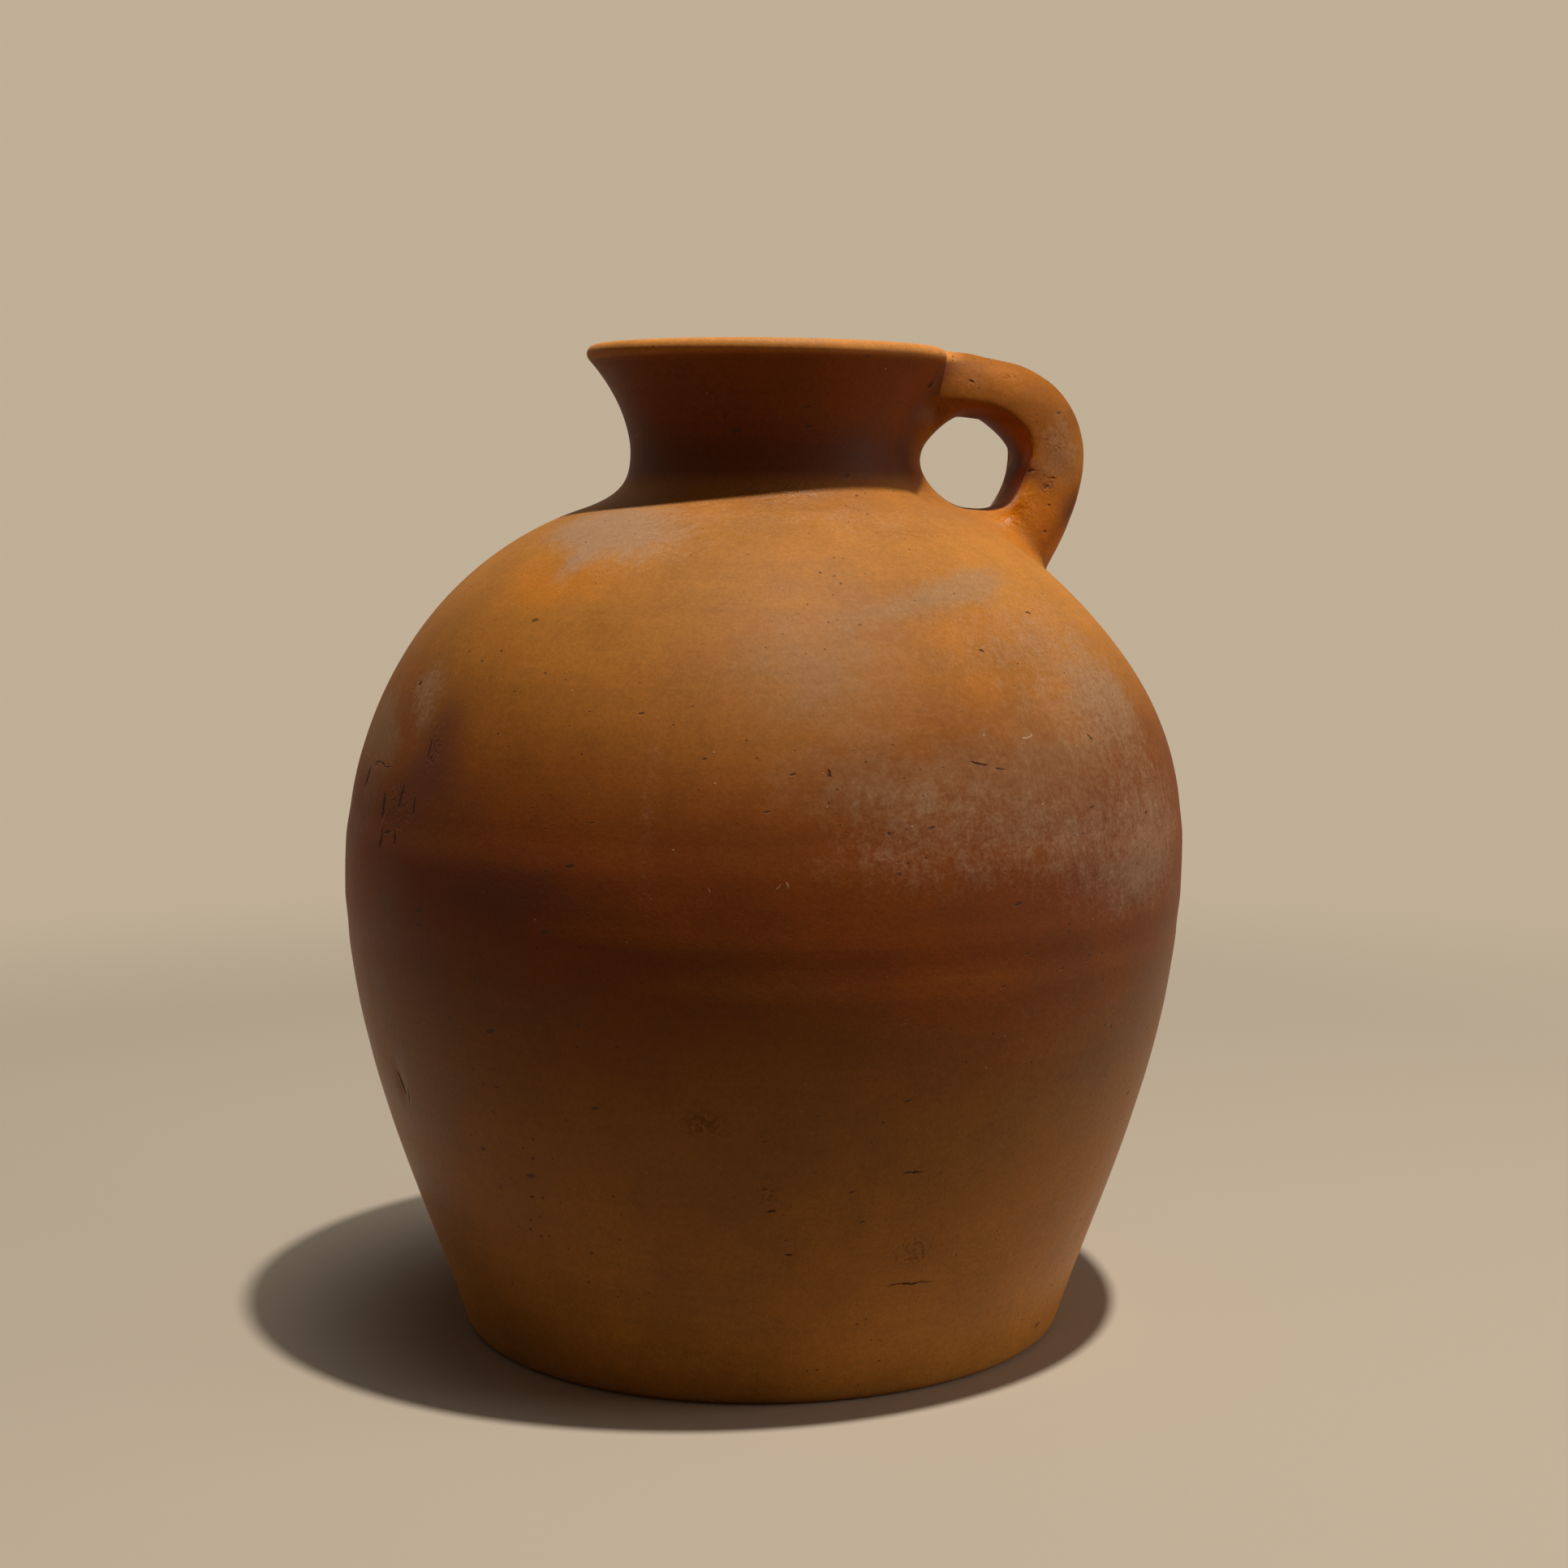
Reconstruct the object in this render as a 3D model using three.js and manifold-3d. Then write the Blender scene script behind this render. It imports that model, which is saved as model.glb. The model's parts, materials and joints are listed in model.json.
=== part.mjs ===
// Terracotta water jug: a round belly thrown in two wall sections, a flared neck and a loop handle.
// Millimetres, +Z up. The origin is the centre of the foot, on the surface that the jug stands on.
// The handle points along +X. Every piece is a member of clay that the potter makes and lutes on by itself.
import * as THREE from "three";
import { LoftGeometry } from "three/addons/geometries/LoftGeometry.js";
import { mergeVertices } from "three/addons/utils/BufferGeometryUtils.js";
import Module from "manifold-3d";

// Driving dimensions. A pull is how far a curve keeps the direction that it has at its end.

// Outside of the body
const FOOT_RADIUS = 107.5;
const FOOT_ROUNDING = 3;
const FOOT_LEAN = 17; // degrees from upright
const FOOT_PULL = 46;
const BELLY_RADIUS = 150;
const BELLY_HEIGHT = 168;
const BELLY_PULL_DOWN = 67;
const BELLY_PULL_UP = 61;
const SHOULDER_RISE = 124.5; // from the belly to the foot of the neck
const SHOULDER_SLOPE = 18.7; // degrees from level, at the foot of the neck
const SHOULDER_PULL = 48.5;

// Clay thicknesses
const FLOOR_THICKNESS = 10;
const BODY_WALL = 8;
const NECK_WALL = 6;

// Neck and mouth
const WAIST_RADIUS = 48.7;
const WAIST_RISE = 20.3; // from the foot of the neck to its narrowest place
const WAIST_PULL = 8.7;
const MOUTH_RADIUS = 64;
const MOUTH_RISE = 37.2; // from the narrowest place to the top of the lip
const MOUTH_FLARE = 42; // degrees from upright, just under the lip
const MOUTH_PULL = 14.5;
const SEAT_LEDGE = 5.5; // flat seat of the neck, out beyond its wall

// Coil in the corner between shoulder and neck
const FILLET_REACH = 17.3; // out from the waist to the foot of the neck
const FILLET_PULL_OUT = 15;
const FILLET_PULL_UP = 10.3;
const COIL_EDGE = 0.8; // thinnest edge that is left on a smoothed coil

// Coil round the belly seam
const SEAM_DROP = 14; // seam below the widest place of the belly
const SEAM_NOTCH_HEIGHT = 5; // half the height of the notch that takes the coil
const SEAM_NOTCH_DEPTH = 3;
const SEAM_CROWN = 0.4; // how far the coil bulges

// Coil inside, between floor and wall
const FLOOR_COIL_REACH = 10;
const FLOOR_COIL_HEIGHT = 10;

// Handle: a crowned loop, measured across its section
const HANDLE_WIDTH = 33;
const HANDLE_FOOT_WIDTH = 40;
const HANDLE_CROWN = 15; // thickness outside the line of its edges
const HANDLE_PALM = 7.5; // thickness inside that line, where the fingers press
const HANDLE_BEND_GROWTH = 2.8; // added to the palm from the bend on
const HANDLE_FOOT_GROWTH = 3.5; // added to the crown at the lower root
const HANDLE_NECK_GROWTH = 9; // added to the palm at the upper root
const HANDLE_SQUARENESS = 2.4; // 2 is an ellipse
const HANDLE_TOP_DROP = 1; // top of the handle below the top of the lip
const HANDLE_FOOT_OUT = 23; // middle of the lower root, out from the foot of the neck
const HANDLE_OVERHANG = 28.3; // outermost place, out from the middle of the lower root
const HANDLE_BEND_DROP = 41; // outermost place, below the top of the lip
const HANDLE_ARCH = 2; // how far the line rises on its way out
const HANDLE_TOP_PULL = 34;
const HANDLE_BEND_PULL_UP = 19;
const HANDLE_BEND_PULL_DOWN = 9;
const HANDLE_FOOT_PULL = 11;
const HANDLE_SUNK_END = 6; // length of each end that is cut away to fit the body

// Shares of the handle's length between which its thickness changes
const NECK_GROWTH_END = 0.35;
const BEND_GROWTH_START = 0.3;
const BEND_GROWTH_END = 0.5;
const FOOT_GROWTH_START = 0.6;

// Luting clay at the two roots of the handle
const NECK_WAD_THICKNESS = 9.5; // at the waist
const NECK_WAD_SUNK = 5; // middle of the wad, inside the waist
const NECK_WAD_HALF_HEIGHT = 21;
const NECK_WAD_HALF_WIDTH = 18;
const NECK_WAD_DROP = 3; // middle of the wad below the waist
const SHOULDER_WAD_HALF_LENGTH = 22;
const SHOULDER_WAD_HALF_WIDTH = 24;
const SHOULDER_WAD_THICKNESS = 6;

const CLEARANCE = 0.3; // between pieces that are shaped to each other

// Facets
const TURN_SEGMENTS = 48;
const WALL_STEPS = 8;
const SHOULDER_STEPS = 10;
const NECK_STEPS = 6;
const LIP_STEPS = 6;
const COIL_STEPS = 6;
const FILLET_STEPS = 8;
const HANDLE_STATIONS = 22;
const HANDLE_SIDES = 16;
const WAD_SEGMENTS = 24;
const WAD_RINGS = 16;

const MERGE_TOLERANCE = 1e-4;
const HALVINGS = 40; // when a place on a line is searched for

// Looks
const CLAY_COLOUR = 0xb4672f;
const LUTING_COLOUR = 0xa85c2c;
const BURNISHED = 0.55; // roughness
const SMOOTHED = 0.62;
const RAW = 0.8;

// Heights and radii that follow from the driving dimensions
const seamHeight = BELLY_HEIGHT - SEAM_DROP;
const neckFootHeight = BELLY_HEIGHT + SHOULDER_RISE;
const neckFootRadius = WAIST_RADIUS + FILLET_REACH;
const waistHeight = neckFootHeight + WAIST_RISE;
const rimHeight = waistHeight + MOUTH_RISE;
const throatRadius = WAIST_RADIUS - NECK_WALL;
const lipRadius = NECK_WALL / 2;
const { degToRad, lerp, smoothstep } = THREE.MathUtils;
const shoulderFall = Math.tan(degToRad(SHOULDER_SLOPE));
const seatRadius = WAIST_RADIUS + SEAT_LEDGE;
const seatHeight = neckFootHeight + (neckFootRadius - seatRadius) * shoulderFall;

const wasm = await Module();
wasm.setup();

function at(radius, height) {
  return new THREE.Vector2(radius, height);
}

// A direction in the section of the jug, by its angle from upright.
function leaning(degrees) {
  return at(Math.sin(degToRad(degrees)), Math.cos(degToRad(degrees)));
}

function moved(point, direction, distance) {
  return point.clone().addScaledVector(direction, distance);
}

const UP = at(0, 1);
const DOWN = at(0, -1);

// Section lines of the outside: foot to belly, belly to the foot of the neck, and waist to lip.
const footPoint = at(FOOT_RADIUS, 0);
const bellyPoint = at(BELLY_RADIUS, BELLY_HEIGHT);
const neckFootPoint = at(neckFootRadius, neckFootHeight);
const waistPoint = at(WAIST_RADIUS, waistHeight);
const shoulderUp = leaning(SHOULDER_SLOPE - 90);
const lipCentre = at(MOUTH_RADIUS - lipRadius, rimHeight - lipRadius);
const flareUp = leaning(MOUTH_FLARE);
const flarePoint = moved(lipCentre, leaning(MOUTH_FLARE + 90), lipRadius);

const lowerLine = new THREE.CubicBezierCurve(
  footPoint,
  moved(footPoint, leaning(FOOT_LEAN), FOOT_PULL),
  moved(bellyPoint, DOWN, BELLY_PULL_DOWN),
  bellyPoint,
);
const shoulderLine = new THREE.CubicBezierCurve(
  bellyPoint,
  moved(bellyPoint, UP, BELLY_PULL_UP),
  moved(neckFootPoint, shoulderUp, -SHOULDER_PULL),
  neckFootPoint,
);
const flareLine = new THREE.CubicBezierCurve(
  waistPoint,
  moved(waistPoint, UP, WAIST_PULL),
  moved(flarePoint, flareUp, -MOUTH_PULL),
  flarePoint,
);

// A point of a section line, moved outwards from it, or inwards for a negative distance.
function besideLine(line, share, distance) {
  const forward = line.getTangent(share);
  return moved(line.getPoint(share), at(forward.y, -forward.x), distance);
}

// The share of a line where a measure of its points, which only falls or only rises, reaches a value.
function shareWhere(measure, value) {
  const rising = measure(1) > measure(0);
  let low = 0;
  let high = 1;
  for (let step = 0; step < HALVINGS; step += 1) {
    const middle = (low + high) / 2;
    if (measure(middle) < value === rising) low = middle;
    else high = middle;
  }
  return (low + high) / 2;
}

// The place at a height on a line, or beside it.
function placeAt(line, distance, height) {
  const share = shareWhere((place) => besideLine(line, place, distance).y, height);
  return at(besideLine(line, share, distance).x, height);
}

// Points beside a line between two heights, upwards or downwards, with both end heights exact.
function stretch(line, distance, fromHeight, toHeight, steps) {
  const height = (share) => besideLine(line, share, distance).y;
  const from = shareWhere(height, fromHeight);
  const to = shareWhere(height, toHeight);
  const points = [];
  for (let step = 0; step <= steps; step += 1) {
    points.push(besideLine(line, lerp(from, to, step / steps), distance));
  }
  points[0].y = fromHeight;
  points[steps].y = toHeight;
  return points;
}

// Points beside the whole of a line, from its start to its end.
function alongside(line, distance, steps) {
  const points = [];
  for (let step = 0; step <= steps; step += 1) {
    points.push(besideLine(line, step / steps, distance));
  }
  return points;
}

function arc(centre, radius, fromAngle, toAngle, steps) {
  const points = [];
  for (let step = 0; step <= steps; step += 1) {
    const angle = lerp(fromAngle, toAngle, step / steps);
    points.push(at(centre.x + radius * Math.cos(angle), centre.y + radius * Math.sin(angle)));
  }
  return points;
}

// Turns a section round the jug's axis. Its points go anticlockwise, with the radius to the right.
function turned(points, closed) {
  const outline = closed ? [...points, points[0]] : points;
  return new THREE.LatheGeometry(outline, TURN_SEGMENTS).rotateX(Math.PI / 2);
}

// Closed geometry as a solid for cutting, without the triangles that a pole leaves flat.
function solidOf(geometry) {
  const bare = new THREE.BufferGeometry();
  bare.setAttribute("position", geometry.getAttribute("position"));
  bare.setIndex(geometry.getIndex());
  const merged = mergeVertices(bare, MERGE_TOLERANCE);
  const corners = merged.getIndex().array;
  const kept = [];
  for (let first = 0; first < corners.length; first += 3) {
    const [a, b, c] = corners.slice(first, first + 3);
    if (a !== b && b !== c && c !== a) kept.push(a, b, c);
  }
  const vertProperties = new Float32Array(merged.getAttribute("position").array);
  return new wasm.Manifold(new wasm.Mesh({ numProp: 3, vertProperties, triVerts: new Uint32Array(kept) }));
}

function geometryOf(solid) {
  const mesh = solid.getMesh();
  const geometry = new THREE.BufferGeometry();
  geometry.setAttribute("position", new THREE.Float32BufferAttribute(mesh.vertProperties, 3));
  geometry.setIndex(Array.from(mesh.triVerts));
  geometry.computeVertexNormals();
  return geometry;
}

const jug = new THREE.Group();

function addPiece(name, geometry, color, roughness) {
  const material = new THREE.MeshStandardMaterial({ color, roughness, metalness: 0 });
  const mesh = new THREE.Mesh(geometry, material);
  mesh.name = name;
  jug.add(mesh);
}

// Floor: a disc whose edge carries on the line of the wall, rounded where it meets the table.
function floorDisc() {
  const edgeStart = at(FOOT_RADIUS - FOOT_ROUNDING, 0);
  const edge = stretch(lowerLine, 0, FOOT_ROUNDING, FLOOR_THICKNESS, 1);
  const rounding = new THREE.QuadraticBezierCurve(edgeStart, footPoint, edge[0]).getPoints(3);
  return turned([at(0, 0), ...rounding, edge[1], at(0, FLOOR_THICKNESS)], false);
}

// Coil in the inside corner: flat on the floor and shaped to the wall, with a hollow face.
function floorSeamCoil() {
  const top = FLOOR_THICKNESS + FLOOR_COIL_HEIGHT;
  const wallSide = stretch(lowerLine, -BODY_WALL - CLEARANCE, FLOOR_THICKNESS, top, 2);
  const corner = wallSide[0];
  const innerEdge = at(corner.x - FLOOR_COIL_REACH, FLOOR_THICKNESS + COIL_EDGE);
  const topEdge = at(wallSide[2].x - COIL_EDGE, top);
  const deepest = at(corner.x - COIL_EDGE, FLOOR_THICKNESS + COIL_EDGE);
  const face = new THREE.QuadraticBezierCurve(topEdge, deepest, innerEdge).getPoints(COIL_STEPS);
  return turned([...wallSide, ...face, at(innerEdge.x, FLOOR_THICKNESS)], true);
}

// The notch round the belly seam: its lower edge, its bottom and its upper edge.
const notchLow = placeAt(lowerLine, 0, seamHeight - SEAM_NOTCH_HEIGHT);
const notchBottom = at(placeAt(lowerLine, 0, seamHeight).x - SEAM_NOTCH_DEPTH, seamHeight);
const notchHigh = placeAt(lowerLine, 0, seamHeight + SEAM_NOTCH_HEIGHT);

function lowerWall() {
  const outside = stretch(lowerLine, 0, FLOOR_THICKNESS, notchLow.y, WALL_STEPS);
  const inside = stretch(lowerLine, -BODY_WALL, seamHeight, FLOOR_THICKNESS, WALL_STEPS);
  return turned([...outside, notchBottom, ...inside], true);
}

// Coil of the belly seam: fills the notch and stands a little proud, as the ring round the belly.
function bellySeamCoil() {
  const crown = [];
  for (let step = 0; step <= COIL_STEPS; step += 1) {
    const share = step / COIL_STEPS;
    const bulge = SEAM_CROWN * (1 - (2 * share - 1) ** 2);
    const onWall = notchLow.clone().lerp(notchHigh, share);
    crown.push(at(onWall.x + CLEARANCE + bulge, onWall.y));
  }
  return turned([...crown, at(notchBottom.x + CLEARANCE, seamHeight)], true);
}

const shoulderInsideEnd = besideLine(shoulderLine, 1, -BODY_WALL);
const throatHeight = shoulderInsideEnd.y + (shoulderInsideEnd.x - throatRadius) * shoulderFall;

// Shoulder: from the seam over the belly to a flat seat that carries the neck.
function shoulderWall() {
  const outside = [notchHigh, ...alongside(shoulderLine, 0, SHOULDER_STEPS)];
  const seat = [at(seatRadius, seatHeight), at(throatRadius, seatHeight), at(throatRadius, throatHeight)];
  const inside = alongside(shoulderLine, -BODY_WALL, WALL_STEPS).reverse();
  const seamInside = placeAt(lowerLine, -BODY_WALL, seamHeight);
  return turned([notchBottom, ...outside, ...seat, ...inside, seamInside], true);
}

// Hollow face of the coil at the foot of the neck, from the shoulder up to the waist.
const filletFoot = at(neckFootRadius, neckFootHeight + CLEARANCE + COIL_EDGE);
const filletTop = at(WAIST_RADIUS + CLEARANCE + COIL_EDGE, waistHeight);
const filletLine = new THREE.CubicBezierCurve(
  filletFoot,
  moved(filletFoot, shoulderUp, FILLET_PULL_OUT),
  moved(filletTop, DOWN, FILLET_PULL_UP),
  filletTop,
);

function neckSeamCoil() {
  const neckSide = WAIST_RADIUS + CLEARANCE;
  const underside = [
    at(neckSide, seatHeight + CLEARANCE),
    at(seatRadius, seatHeight + CLEARANCE),
    at(neckFootRadius, neckFootHeight + CLEARANCE),
  ];
  return turned([...underside, ...alongside(filletLine, 0, FILLET_STEPS), at(neckSide, waistHeight)], true);
}

// Neck: upright on its seat up to the waist, then flaring to a round lip.
function neckCollar() {
  const flareAngle = -degToRad(MOUTH_FLARE);
  const lip = arc(lipCentre, lipRadius, flareAngle, flareAngle + Math.PI, LIP_STEPS).slice(1, -1);
  const outside = [at(WAIST_RADIUS, seatHeight), ...alongside(flareLine, 0, NECK_STEPS)];
  const inside = [...alongside(flareLine, -NECK_WALL, NECK_STEPS).reverse(), at(throatRadius, seatHeight)];
  return turned([...outside, ...lip, ...inside], true);
}

// The whole outside of the jug without its handle, grown by the clearance: what the handle is shaped to.
function bodyEnvelope() {
  const flareAngle = -degToRad(MOUTH_FLARE);
  const lip = arc(lipCentre, lipRadius + CLEARANCE, flareAngle, Math.PI / 2, LIP_STEPS);
  const outline = [
    at(0, BELLY_HEIGHT),
    ...alongside(shoulderLine, CLEARANCE, SHOULDER_STEPS),
    ...alongside(filletLine, CLEARANCE, FILLET_STEPS),
    ...alongside(flareLine, CLEARANCE, NECK_STEPS),
    ...lip.slice(1),
    at(0, rimHeight + CLEARANCE),
  ];
  return solidOf(turned(outline, false));
}

// Lower root of the handle: its middle on the shoulder, and the direction straight out of the shoulder there.
const footRadius = neckFootRadius + HANDLE_FOOT_OUT;
const footShare = shareWhere((share) => shoulderLine.getPoint(share).x, footRadius);
const footMiddle = shoulderLine.getPoint(footShare);
const footForward = shoulderLine.getTangent(footShare);
const footOut = at(footForward.y, -footForward.x);

// Line of the handle's edges: out from the neck, over the bend, down into the shoulder.
const handleStart = at(WAIST_RADIUS - HANDLE_SUNK_END, rimHeight - HANDLE_TOP_DROP - HANDLE_CROWN);
const bendPoint = at(footRadius + HANDLE_OVERHANG - HANDLE_CROWN, rimHeight - HANDLE_BEND_DROP);
const handleEnd = moved(footMiddle, footOut, -HANDLE_SUNK_END);
const handleLine = new THREE.CurvePath();
handleLine.add(
  new THREE.CubicBezierCurve(
    handleStart,
    moved(handleStart, at(1, HANDLE_ARCH / HANDLE_TOP_PULL), HANDLE_TOP_PULL + HANDLE_SUNK_END),
    moved(bendPoint, UP, HANDLE_BEND_PULL_UP),
    bendPoint,
  ),
);
handleLine.add(
  new THREE.CubicBezierCurve(
    bendPoint,
    moved(bendPoint, DOWN, HANDLE_BEND_PULL_DOWN),
    moved(footMiddle, footOut, HANDLE_FOOT_PULL),
    handleEnd,
  ),
);

function rounded(value) {
  return Math.sign(value) * Math.abs(value) ** (2 / HANDLE_SQUARENESS);
}

// One section of the handle: a crown outside and a flatter palm inside, growing towards the lower root.
function handleSection(share) {
  const middle = handleLine.getPoint(share);
  const forward = handleLine.getTangent(share);
  const outward = at(-forward.y, forward.x);
  const rootShare = smoothstep(share, FOOT_GROWTH_START, 1);
  const crown = HANDLE_CROWN + HANDLE_FOOT_GROWTH * rootShare;
  const neckGrowth = HANDLE_NECK_GROWTH * (1 - smoothstep(share, 0, NECK_GROWTH_END));
  const bendGrowth = HANDLE_BEND_GROWTH * smoothstep(share, BEND_GROWTH_START, BEND_GROWTH_END);
  const palm = HANDLE_PALM + neckGrowth + bendGrowth;
  const halfWidth = lerp(HANDLE_WIDTH, HANDLE_FOOT_WIDTH, rootShare) / 2;
  const points = [];
  for (let side = 0; side < HANDLE_SIDES; side += 1) {
    const angle = (2 * Math.PI * side) / HANDLE_SIDES;
    const lift = rounded(Math.sin(angle));
    const place = moved(middle, outward, lift * (lift > 0 ? crown : palm));
    points.push(new THREE.Vector3(place.x, rounded(Math.cos(angle)) * halfWidth, place.y));
  }
  return points;
}

function handleLoop() {
  const sections = [];
  for (let station = 0; station <= HANDLE_STATIONS; station += 1) {
    sections.push(handleSection(station / HANDLE_STATIONS));
  }
  return solidOf(new LoftGeometry(sections, { capStart: true, capEnd: true }));
}

function wadBlob(halfLength, halfWidth, halfHeight, tilt, middle) {
  const blob = new THREE.SphereGeometry(1, WAD_SEGMENTS, WAD_RINGS).rotateX(Math.PI / 2);
  blob.scale(halfLength, halfWidth, halfHeight);
  blob.rotateY(tilt);
  blob.translate(middle.x, 0, middle.y);
  return solidOf(blob);
}

// Wad between the neck and the upper root, and wad between the shoulder and the lower root.
function neckWad(grown) {
  const middle = at(WAIST_RADIUS - NECK_WAD_SUNK, waistHeight - NECK_WAD_DROP);
  const halfThickness = NECK_WAD_SUNK + NECK_WAD_THICKNESS + grown;
  return wadBlob(halfThickness, NECK_WAD_HALF_WIDTH + grown, NECK_WAD_HALF_HEIGHT + grown, 0, middle);
}

function shoulderWad(grown) {
  const tilt = Math.atan2(footOut.x, footOut.y);
  const halfLength = SHOULDER_WAD_HALF_LENGTH + grown;
  const halfWidth = SHOULDER_WAD_HALF_WIDTH + grown;
  return wadBlob(halfLength, halfWidth, SHOULDER_WAD_THICKNESS + grown, tilt, footMiddle);
}

const envelope = bodyEnvelope();
const shoulderWadSolid = shoulderWad(0).subtract(envelope);
const neckWadSolid = neckWad(0).subtract(envelope).subtract(shoulderWad(CLEARANCE));
const grownWads = neckWad(CLEARANCE).add(shoulderWad(CLEARANCE));
const handleSolid = handleLoop().subtract(envelope).subtract(grownWads);

addPiece("floor_disc", floorDisc(), CLAY_COLOUR, RAW);
addPiece("floor_seam_coil", floorSeamCoil(), LUTING_COLOUR, RAW);
addPiece("lower_wall", lowerWall(), CLAY_COLOUR, SMOOTHED);
addPiece("belly_seam_coil", bellySeamCoil(), LUTING_COLOUR, SMOOTHED);
addPiece("shoulder_wall", shoulderWall(), CLAY_COLOUR, BURNISHED);
addPiece("neck_seam_coil", neckSeamCoil(), LUTING_COLOUR, SMOOTHED);
addPiece("neck_collar", neckCollar(), CLAY_COLOUR, SMOOTHED);
addPiece("handle_neck_wad", geometryOf(neckWadSolid), LUTING_COLOUR, SMOOTHED);
addPiece("handle_shoulder_wad", geometryOf(shoulderWadSolid), LUTING_COLOUR, SMOOTHED);
addPiece("handle", geometryOf(handleSolid), CLAY_COLOUR, BURNISHED);

export default jug;
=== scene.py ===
# %% [markdown]
# # A terracotta water jug
# The real jug is about 35 cm tall, of unglazed red clay. A potter threw the belly in two wall
# sections, set a flared neck on top, and pulled a thick loop handle from the lip to the shoulder.
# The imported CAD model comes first: it is the frame that every Blender piece is fitted to.

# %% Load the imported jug
import json
import math

import bmesh
import bpy
from mathutils import Matrix, Vector, noise
from mathutils.bvhtree import BVHTree
from mathutils.geometry import interpolate_bezier


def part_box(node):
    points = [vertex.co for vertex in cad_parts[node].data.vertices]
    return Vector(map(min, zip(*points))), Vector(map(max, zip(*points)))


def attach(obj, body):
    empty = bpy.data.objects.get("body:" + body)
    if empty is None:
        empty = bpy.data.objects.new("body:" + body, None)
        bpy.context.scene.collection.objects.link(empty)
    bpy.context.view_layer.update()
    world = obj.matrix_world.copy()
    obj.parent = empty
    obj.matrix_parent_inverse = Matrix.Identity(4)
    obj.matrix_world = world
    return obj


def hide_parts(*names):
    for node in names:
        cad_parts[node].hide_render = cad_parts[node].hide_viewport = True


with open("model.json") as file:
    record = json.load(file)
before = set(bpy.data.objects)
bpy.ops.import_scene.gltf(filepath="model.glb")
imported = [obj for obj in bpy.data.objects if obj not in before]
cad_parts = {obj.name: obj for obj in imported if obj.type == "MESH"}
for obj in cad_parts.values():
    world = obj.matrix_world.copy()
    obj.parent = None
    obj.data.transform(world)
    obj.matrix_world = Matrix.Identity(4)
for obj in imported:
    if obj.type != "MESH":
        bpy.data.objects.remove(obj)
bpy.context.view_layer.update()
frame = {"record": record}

# %% [markdown]
# ## The camera
# The photograph was taken from a little under a metre away, just above the height of the handle's
# loop. Placing the camera first lets every later piece be judged from where the photograph was taken.
# A camera could be posed by angles, but aiming it at a point on the jug is easier to read.

# %% Camera
MM = 0.001
CAMERA_DISTANCE = 934.2 * MM
CAMERA_HEIGHT = 298.6 * MM
CAMERA_ROUND = 10.53  # degrees from straight in front, away from the handle
AIM = Vector((7.7, 0, 193.8)) * MM
PHOTO_SIDE = 1932  # pixels
FOCAL_PIXELS = 3200
SENSOR = 36.0

camera_data = bpy.data.cameras.new("camera")
camera_data.sensor_width = SENSOR
camera_data.lens = SENSOR * FOCAL_PIXELS / PHOTO_SIDE
camera = bpy.data.objects.new("camera", camera_data)
bpy.context.scene.collection.objects.link(camera)
round_angle = math.radians(CAMERA_ROUND)
camera.location = (
    -CAMERA_DISTANCE * math.sin(round_angle),
    -CAMERA_DISTANCE * math.cos(round_angle),
    CAMERA_HEIGHT,
)
camera.rotation_euler = (AIM - camera.location).to_track_quat("-Z", "Y").to_euler()
bpy.context.scene.camera = camera
print("camera at", tuple(camera.location), "with a lens of", round(camera_data.lens, 1), "mm")

# %% [markdown]
# ## The outside line of the jug
# A thrown pot is one line turned round an axis. The line here is four soft curves, one after the
# other: foot to belly, belly to the foot of the neck, the hollow at the neck, and the flare of the
# mouth. The big sizes are read from the CAD nodes, and the pulls say how long a curve keeps its
# direction at each end. Bezier curves need few numbers and join without a kink.

# %% Sizes of the body
BELLY_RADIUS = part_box("shoulder_wall")[1].x
SEAM_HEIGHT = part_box("lower_wall")[1].z
RIM_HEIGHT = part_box("neck_collar")[1].z
MOUTH_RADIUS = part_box("neck_collar")[1].x
FLOOR_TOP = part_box("floor_disc")[1].z
WAIST_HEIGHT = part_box("neck_seam_coil")[1].z
NECK_FOOT_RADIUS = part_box("neck_seam_coil")[1].x
BELLY_HEIGHT = SEAM_HEIGHT + 14 * MM
NECK_FOOT_HEIGHT = WAIST_HEIGHT - 20.3 * MM
WAIST_RADIUS = NECK_FOOT_RADIUS - 17.3 * MM
FOOT_RADIUS = 107.5 * MM
FOOT_ROUNDING = 3 * MM
FOOT_LEAN = 17  # degrees from upright
SHOULDER_SLOPE = 18.7  # degrees from level
MOUTH_FLARE = 42  # degrees from upright
BODY_WALL = 8 * MM
NECK_WALL = 6 * MM
LIP_RADIUS = NECK_WALL / 2
LOWER_PULLS = (46, 67)  # mm, at the start and at the end of a curve
SHOULDER_PULLS = (61, 48.5)
HOLLOW_PULLS = (15, 10.3)
FLARE_PULLS = (8.7, 14.5)


def place(radius, height):
    """A point in the section of the jug."""
    return Vector((radius, 0, height))


def leaning(degrees):
    """A direction in the section of the jug, by its angle from upright."""
    angle = math.radians(degrees)
    return Vector((math.sin(angle), 0, math.cos(angle)))


def curve(start, start_way, end, end_way, pulls):
    """The four points of a soft curve that leaves and arrives in the given directions."""
    return (start, start + start_way * pulls[0] * MM, end - end_way * pulls[1] * MM, end)


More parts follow.
